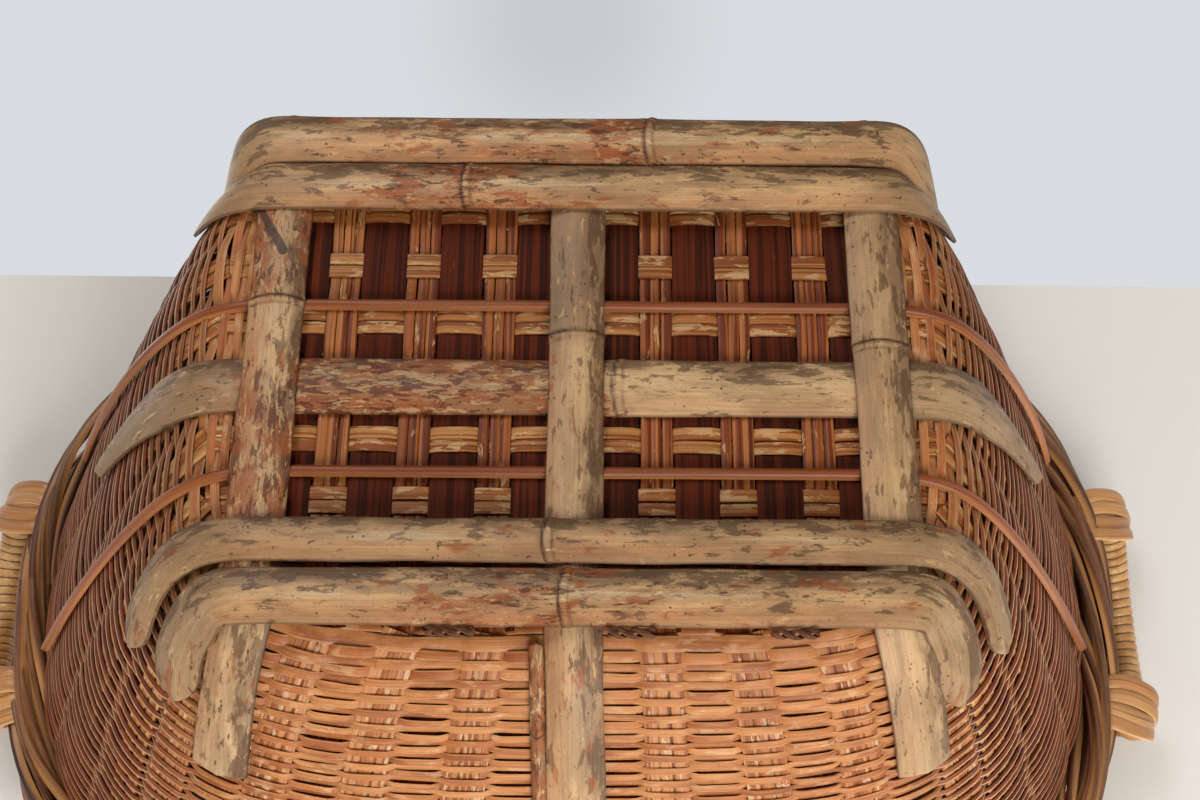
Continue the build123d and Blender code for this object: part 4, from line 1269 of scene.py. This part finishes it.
bamboo_skin = bamboo("old bamboo skin")
brushed_skin = bamboo("old bamboo skin with a brush stroke", stroke=((107.8, 110.7), (98.2, 93.6)))
weaver_finish = woven("fine weavers", (178, 106, 56), (92, 38, 18), (208, 158, 102), (204, 142, 88))
light_stake = strip_finish("light stakes", (186, 118, 60), (160, 88, 42), (118, 54, 26), 0.22)
dark_stake = strip_finish("dark stakes", (118, 50, 24), (88, 37, 18), (66, 28, 14), 0.12, (142, 78, 40),
                          roughness=0.66, specular=0.12)
wall_light = strip_finish("light stakes of the wall", (206, 148, 98), (186, 118, 70), (158, 92, 52), 0.35,
                          (226, 190, 150))
tie_finish = cane("twisted ties", (74, 42, 26), (120, 78, 48), (96, 58, 36), edge_from=0.7, coat=0.0)
cross_finish = strip_finish("cross strips", (196, 140, 78), (176, 108, 54), (150, 84, 40), 0.42,
                            (216, 176, 122), seed=9.0)
thin_finish = cane("thin rattan strips", (136, 68, 32), (176, 112, 64), (156, 86, 44), edge_from=0.6)
border_finish = cane("border cane", (56, 24, 13), (172, 122, 74), (90, 43, 23), edge_from=0.6, coat=0.1)
core_finish = cane("border core", (60, 30, 20), (80, 44, 28), (50, 26, 18), coat=0.0)
peel_finish = cane("lashing peel", (186, 132, 76), (206, 164, 108), (166, 108, 60), coat=0.4, edge_from=0.8)
winding_finish = wound_peel("wound peel")
loop_finish = turned_wood("loop cane", (178, 122, 70), (150, 96, 52))
toggle_finish = turned_wood("turned wood", (150, 100, 58), (108, 66, 36))


def place(piece, body, finish, slot, *nodes):
    """Give a piece its finish and its body, and hide the nodes that it stands for; slot is not used."""
    piece.data.materials.clear()
    piece.data.materials.append(finish)
    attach(piece, body)
    if nodes:
        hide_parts(*nodes)


place(weavers_low, "basket", weaver_finish, "weave", "wall_weave")
place(weavers_high, "basket", weaver_finish, "weave")
place(mat_edge, "basket", weaver_finish, "weave")
place(stakes_light, "basket", wall_light, "light_stake")
place(stakes_dark, "basket", dark_stake, "dark_stake")
place(stakes_side, "basket", cross_finish, "light_stake")
place(mat_light, "basket", light_stake, "light_stake", "base_stakes_light")
place(mat_dark, "basket", dark_stake, "dark_stake", "base_stakes_dark")
place(mat_cross, "basket", cross_finish, "light_stake", "base_cross_stakes")
for piece, name in zip(bands, ("end_band_back_outer", "end_band_back_inner", "end_band_front_inner",
                               "end_band_front_outer")):
    place(piece, "basket", bamboo_skin, "bamboo", name)
place(middle_band, "basket", bamboo_skin, "bamboo", "cross_band_middle")
for piece, name in zip(thin_strips, ("rattan_strip_back", "rattan_strip_front")):
    place(piece, "basket", thin_finish, "cane", name)
for piece, name in zip(slats, ("long_slat_right", "long_slat_left", "long_slat_centre")):
    place(piece, "basket", brushed_skin if name == "long_slat_right" else bamboo_skin, "bamboo", name)
place(split, "basket", bamboo_skin, "cane", "centre_side_strip")
place(ties, "basket", tie_finish, "cane", "slat_ties")
place(border_canes, "basket", border_finish, "border_cane", "border_strand_low", "border_strand_mid",
      "border_strand_high", "border_strand_outer_low", "border_strand_outer_high")
place(border_core, "basket", core_finish, "border_cane")
for word, (winding, *lashings) in handles.items():
    place(winding, "basket", winding_finish, "wrap_cane", f"handle_{word}_wrap", f"handle_{word}_core")
    for piece in lashings:
        place(piece, "basket", peel_finish, "wrap_cane")
    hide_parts(f"handle_{word}_lashings")
place(lid_weavers, "lid", weaver_finish, "weave", "lid_weave")
place(lid_weavers_hole, "lid", weaver_finish, "weave")
place(lid_light, "lid", light_stake, "light_stake")
place(lid_dark, "lid", dark_stake, "dark_stake")
place(lid_binding, "lid", winding_finish, "loop_cane", "lid_hoop")
place(rim_binding, "basket", winding_finish, "loop_cane", "rim_cap")
place(hoop_binding, "basket", winding_finish, "loop_cane", "rim_hoop_inner")
for piece in battens:
    place(piece, "lid", bamboo_skin, "bamboo")
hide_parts("lid_battens")

for name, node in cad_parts.items():
    if node.hide_render:
        continue
    node.data.materials.clear()
    node.data.materials.append(toggle_finish if name in ("latch_toggle", "latch_stalk") else loop_finish)

# ---- stage, light and camera --------------------------------------------------------

FLOOR_HALF = 4.0
TABLE_Z = 0.1665
TABLE_HALF = 1.2


def stage_plane(name, corners, colour, edge_on_limit):
    """A plain sheet seen from one side only; it casts no shadow, and past the limit seen edge-on it is
    clear."""
    mesh = bpy.data.meshes.new(name)
    mesh.from_pydata(corners, [], [tuple(range(len(corners)))])
    piece = bpy.data.objects.new(name, mesh)
    bpy.context.scene.collection.objects.link(piece)
    material = bpy.data.materials.new(name)
    material.use_nodes = True
    n = Nodes(material.node_tree)
    shader = n.tree.nodes["Principled BSDF"]
    for label, value in (("Base Color", colour), ("Roughness", 0.9), ("Specular IOR Level", 0.1)):
        shader.inputs[label].default_value = value
    hidden = n.highest(n.put("NewGeometry").outputs["Backfacing"],
                       n.put("LightPath").outputs["Is Shadow Ray"])
    if edge_on_limit:
        facing = n.put("LayerWeight", {"Blend": 0.5}).outputs["Facing"]
        hidden = n.highest(hidden, n.maths("GREATER_THAN", facing, edge_on_limit))
    both = n.put("MixShader", {0: hidden, 1: shader.outputs[0], 2: n.put("BsdfTransparent").outputs[0]})
    n.tree.links.new(both.outputs[0], n.tree.nodes["Material Output"].inputs["Surface"])
    mesh.materials.append(material)


floor_corners = [(x * FLOOR_HALF, y * FLOOR_HALF, 0) for x, y in ((-1, -1), (1, -1), (1, 1), (-1, 1))]
stage_plane("floor", floor_corners, rgb(222, 220, 216), 0.0)
table_corners = [(x * TABLE_HALF, y, TABLE_Z) for x, y in ((-1, 0.1705), (1, 0.1785), (1, -0.9), (-1, -0.9))]
stage_plane("table", table_corners, rgb(208, 205, 201), 0.72)

world = bpy.data.worlds.new("soft room")
bpy.context.scene.world = world
world.use_nodes = True
world.node_tree.nodes.clear()
sky = Nodes(world.node_tree)
ray = sky.put("LightPath").outputs
seen = sky.highest(ray["Is Camera Ray"], ray["Is Glossy Ray"], ray["Is Transmission Ray"])
# The backdrop seen by the camera carries a painted shadow: a soft grey spot round one direction.
from_painted_shadow = sky.vector("DISTANCE", sky.put("TexCoord").outputs["Generated"], (0.02, 0.619, 0.785), "Value")
wall = sky.blend(sky.step_up(from_painted_shadow, 0.01, 0.11, 0.55, 0.0), rgb(216, 220, 224), rgb(186, 188, 190))
shown = sky.put("Background", {"Color": wall, "Strength": 1.0})
soft = sky.put("Background", {"Color": (1.0, 1.0, 1.0, 1.0), "Strength": 0.34})
either = sky.put("MixShader", {0: seen, 1: soft.outputs[0], 2: shown.outputs[0]})
sky.tree.links.new(either.outputs[0], sky.put("OutputWorld").inputs["Surface"])

LAMP_AIM = Vector((0, 0, 0.05))
LAMPS = (("lamp_below_back", (0.5, 0.8, -1.3), 10.0, 0.7),
         ("lamp_below_front", (-0.35, -1.3, -0.75), 20.0, 0.8),
         ("lamp_above_front", (-0.8, -0.9, 1.5), 15.0, 0.9),
         ("lamp_above_back", (0.9, 0.8, 1.1), 6.0, 1.2))
for name, place_at, power, size in LAMPS:
    data = bpy.data.lights.new(name, "AREA")
    data.energy, data.size = power, size
    holder = bpy.data.objects.new(name, data)
    holder.location = place_at
    holder.rotation_euler = (LAMP_AIM - Vector(place_at)).to_track_quat("-Z", "Y").to_euler()
    bpy.context.scene.collection.objects.link(holder)

CAMERA_PLACE = (-0.0119, -0.2036, -0.5023)
CAMERA_DOWN = math.radians(64.6)
CAMERA_YAW = math.radians(0.294)
CAMERA_ROLL = math.radians(0.691)
SENSOR = 36.0
LENS = SENSOR * 1667.0 / 1200.0


def first_view():
    """The camera under the base: the view of an upturned creel, with its front towards the viewer.

    The directions are worked out with the creel upturned, then turned half round Y with it.
    """
    level = math.cos(CAMERA_DOWN)
    ahead = np.array([math.sin(CAMERA_YAW) * level, math.cos(CAMERA_YAW) * level, -math.sin(CAMERA_DOWN)])
    right = unit(np.cross(ahead, UP))
    up = np.cross(right, ahead)
    c, s = math.cos(CAMERA_ROLL), math.sin(CAMERA_ROLL)
    axes = np.stack([right * c + up * s, up * c - right * s, -ahead], -1) * [[-1], [1], [-1]]
    data = bpy.data.cameras.new("camera")
    data.lens, data.sensor_width = LENS, SENSOR
    data.clip_start, data.clip_end = 0.01, 50
    camera = bpy.data.objects.new("camera", data)
    camera.matrix_world = Matrix.Translation(CAMERA_PLACE) @ Matrix(axes.tolist()).to_4x4()
    bpy.context.scene.collection.objects.link(camera)
    bpy.context.scene.camera = camera


first_view()
bpy.context.scene.view_settings.view_transform = "Standard"

bpy.context.view_layer.update()
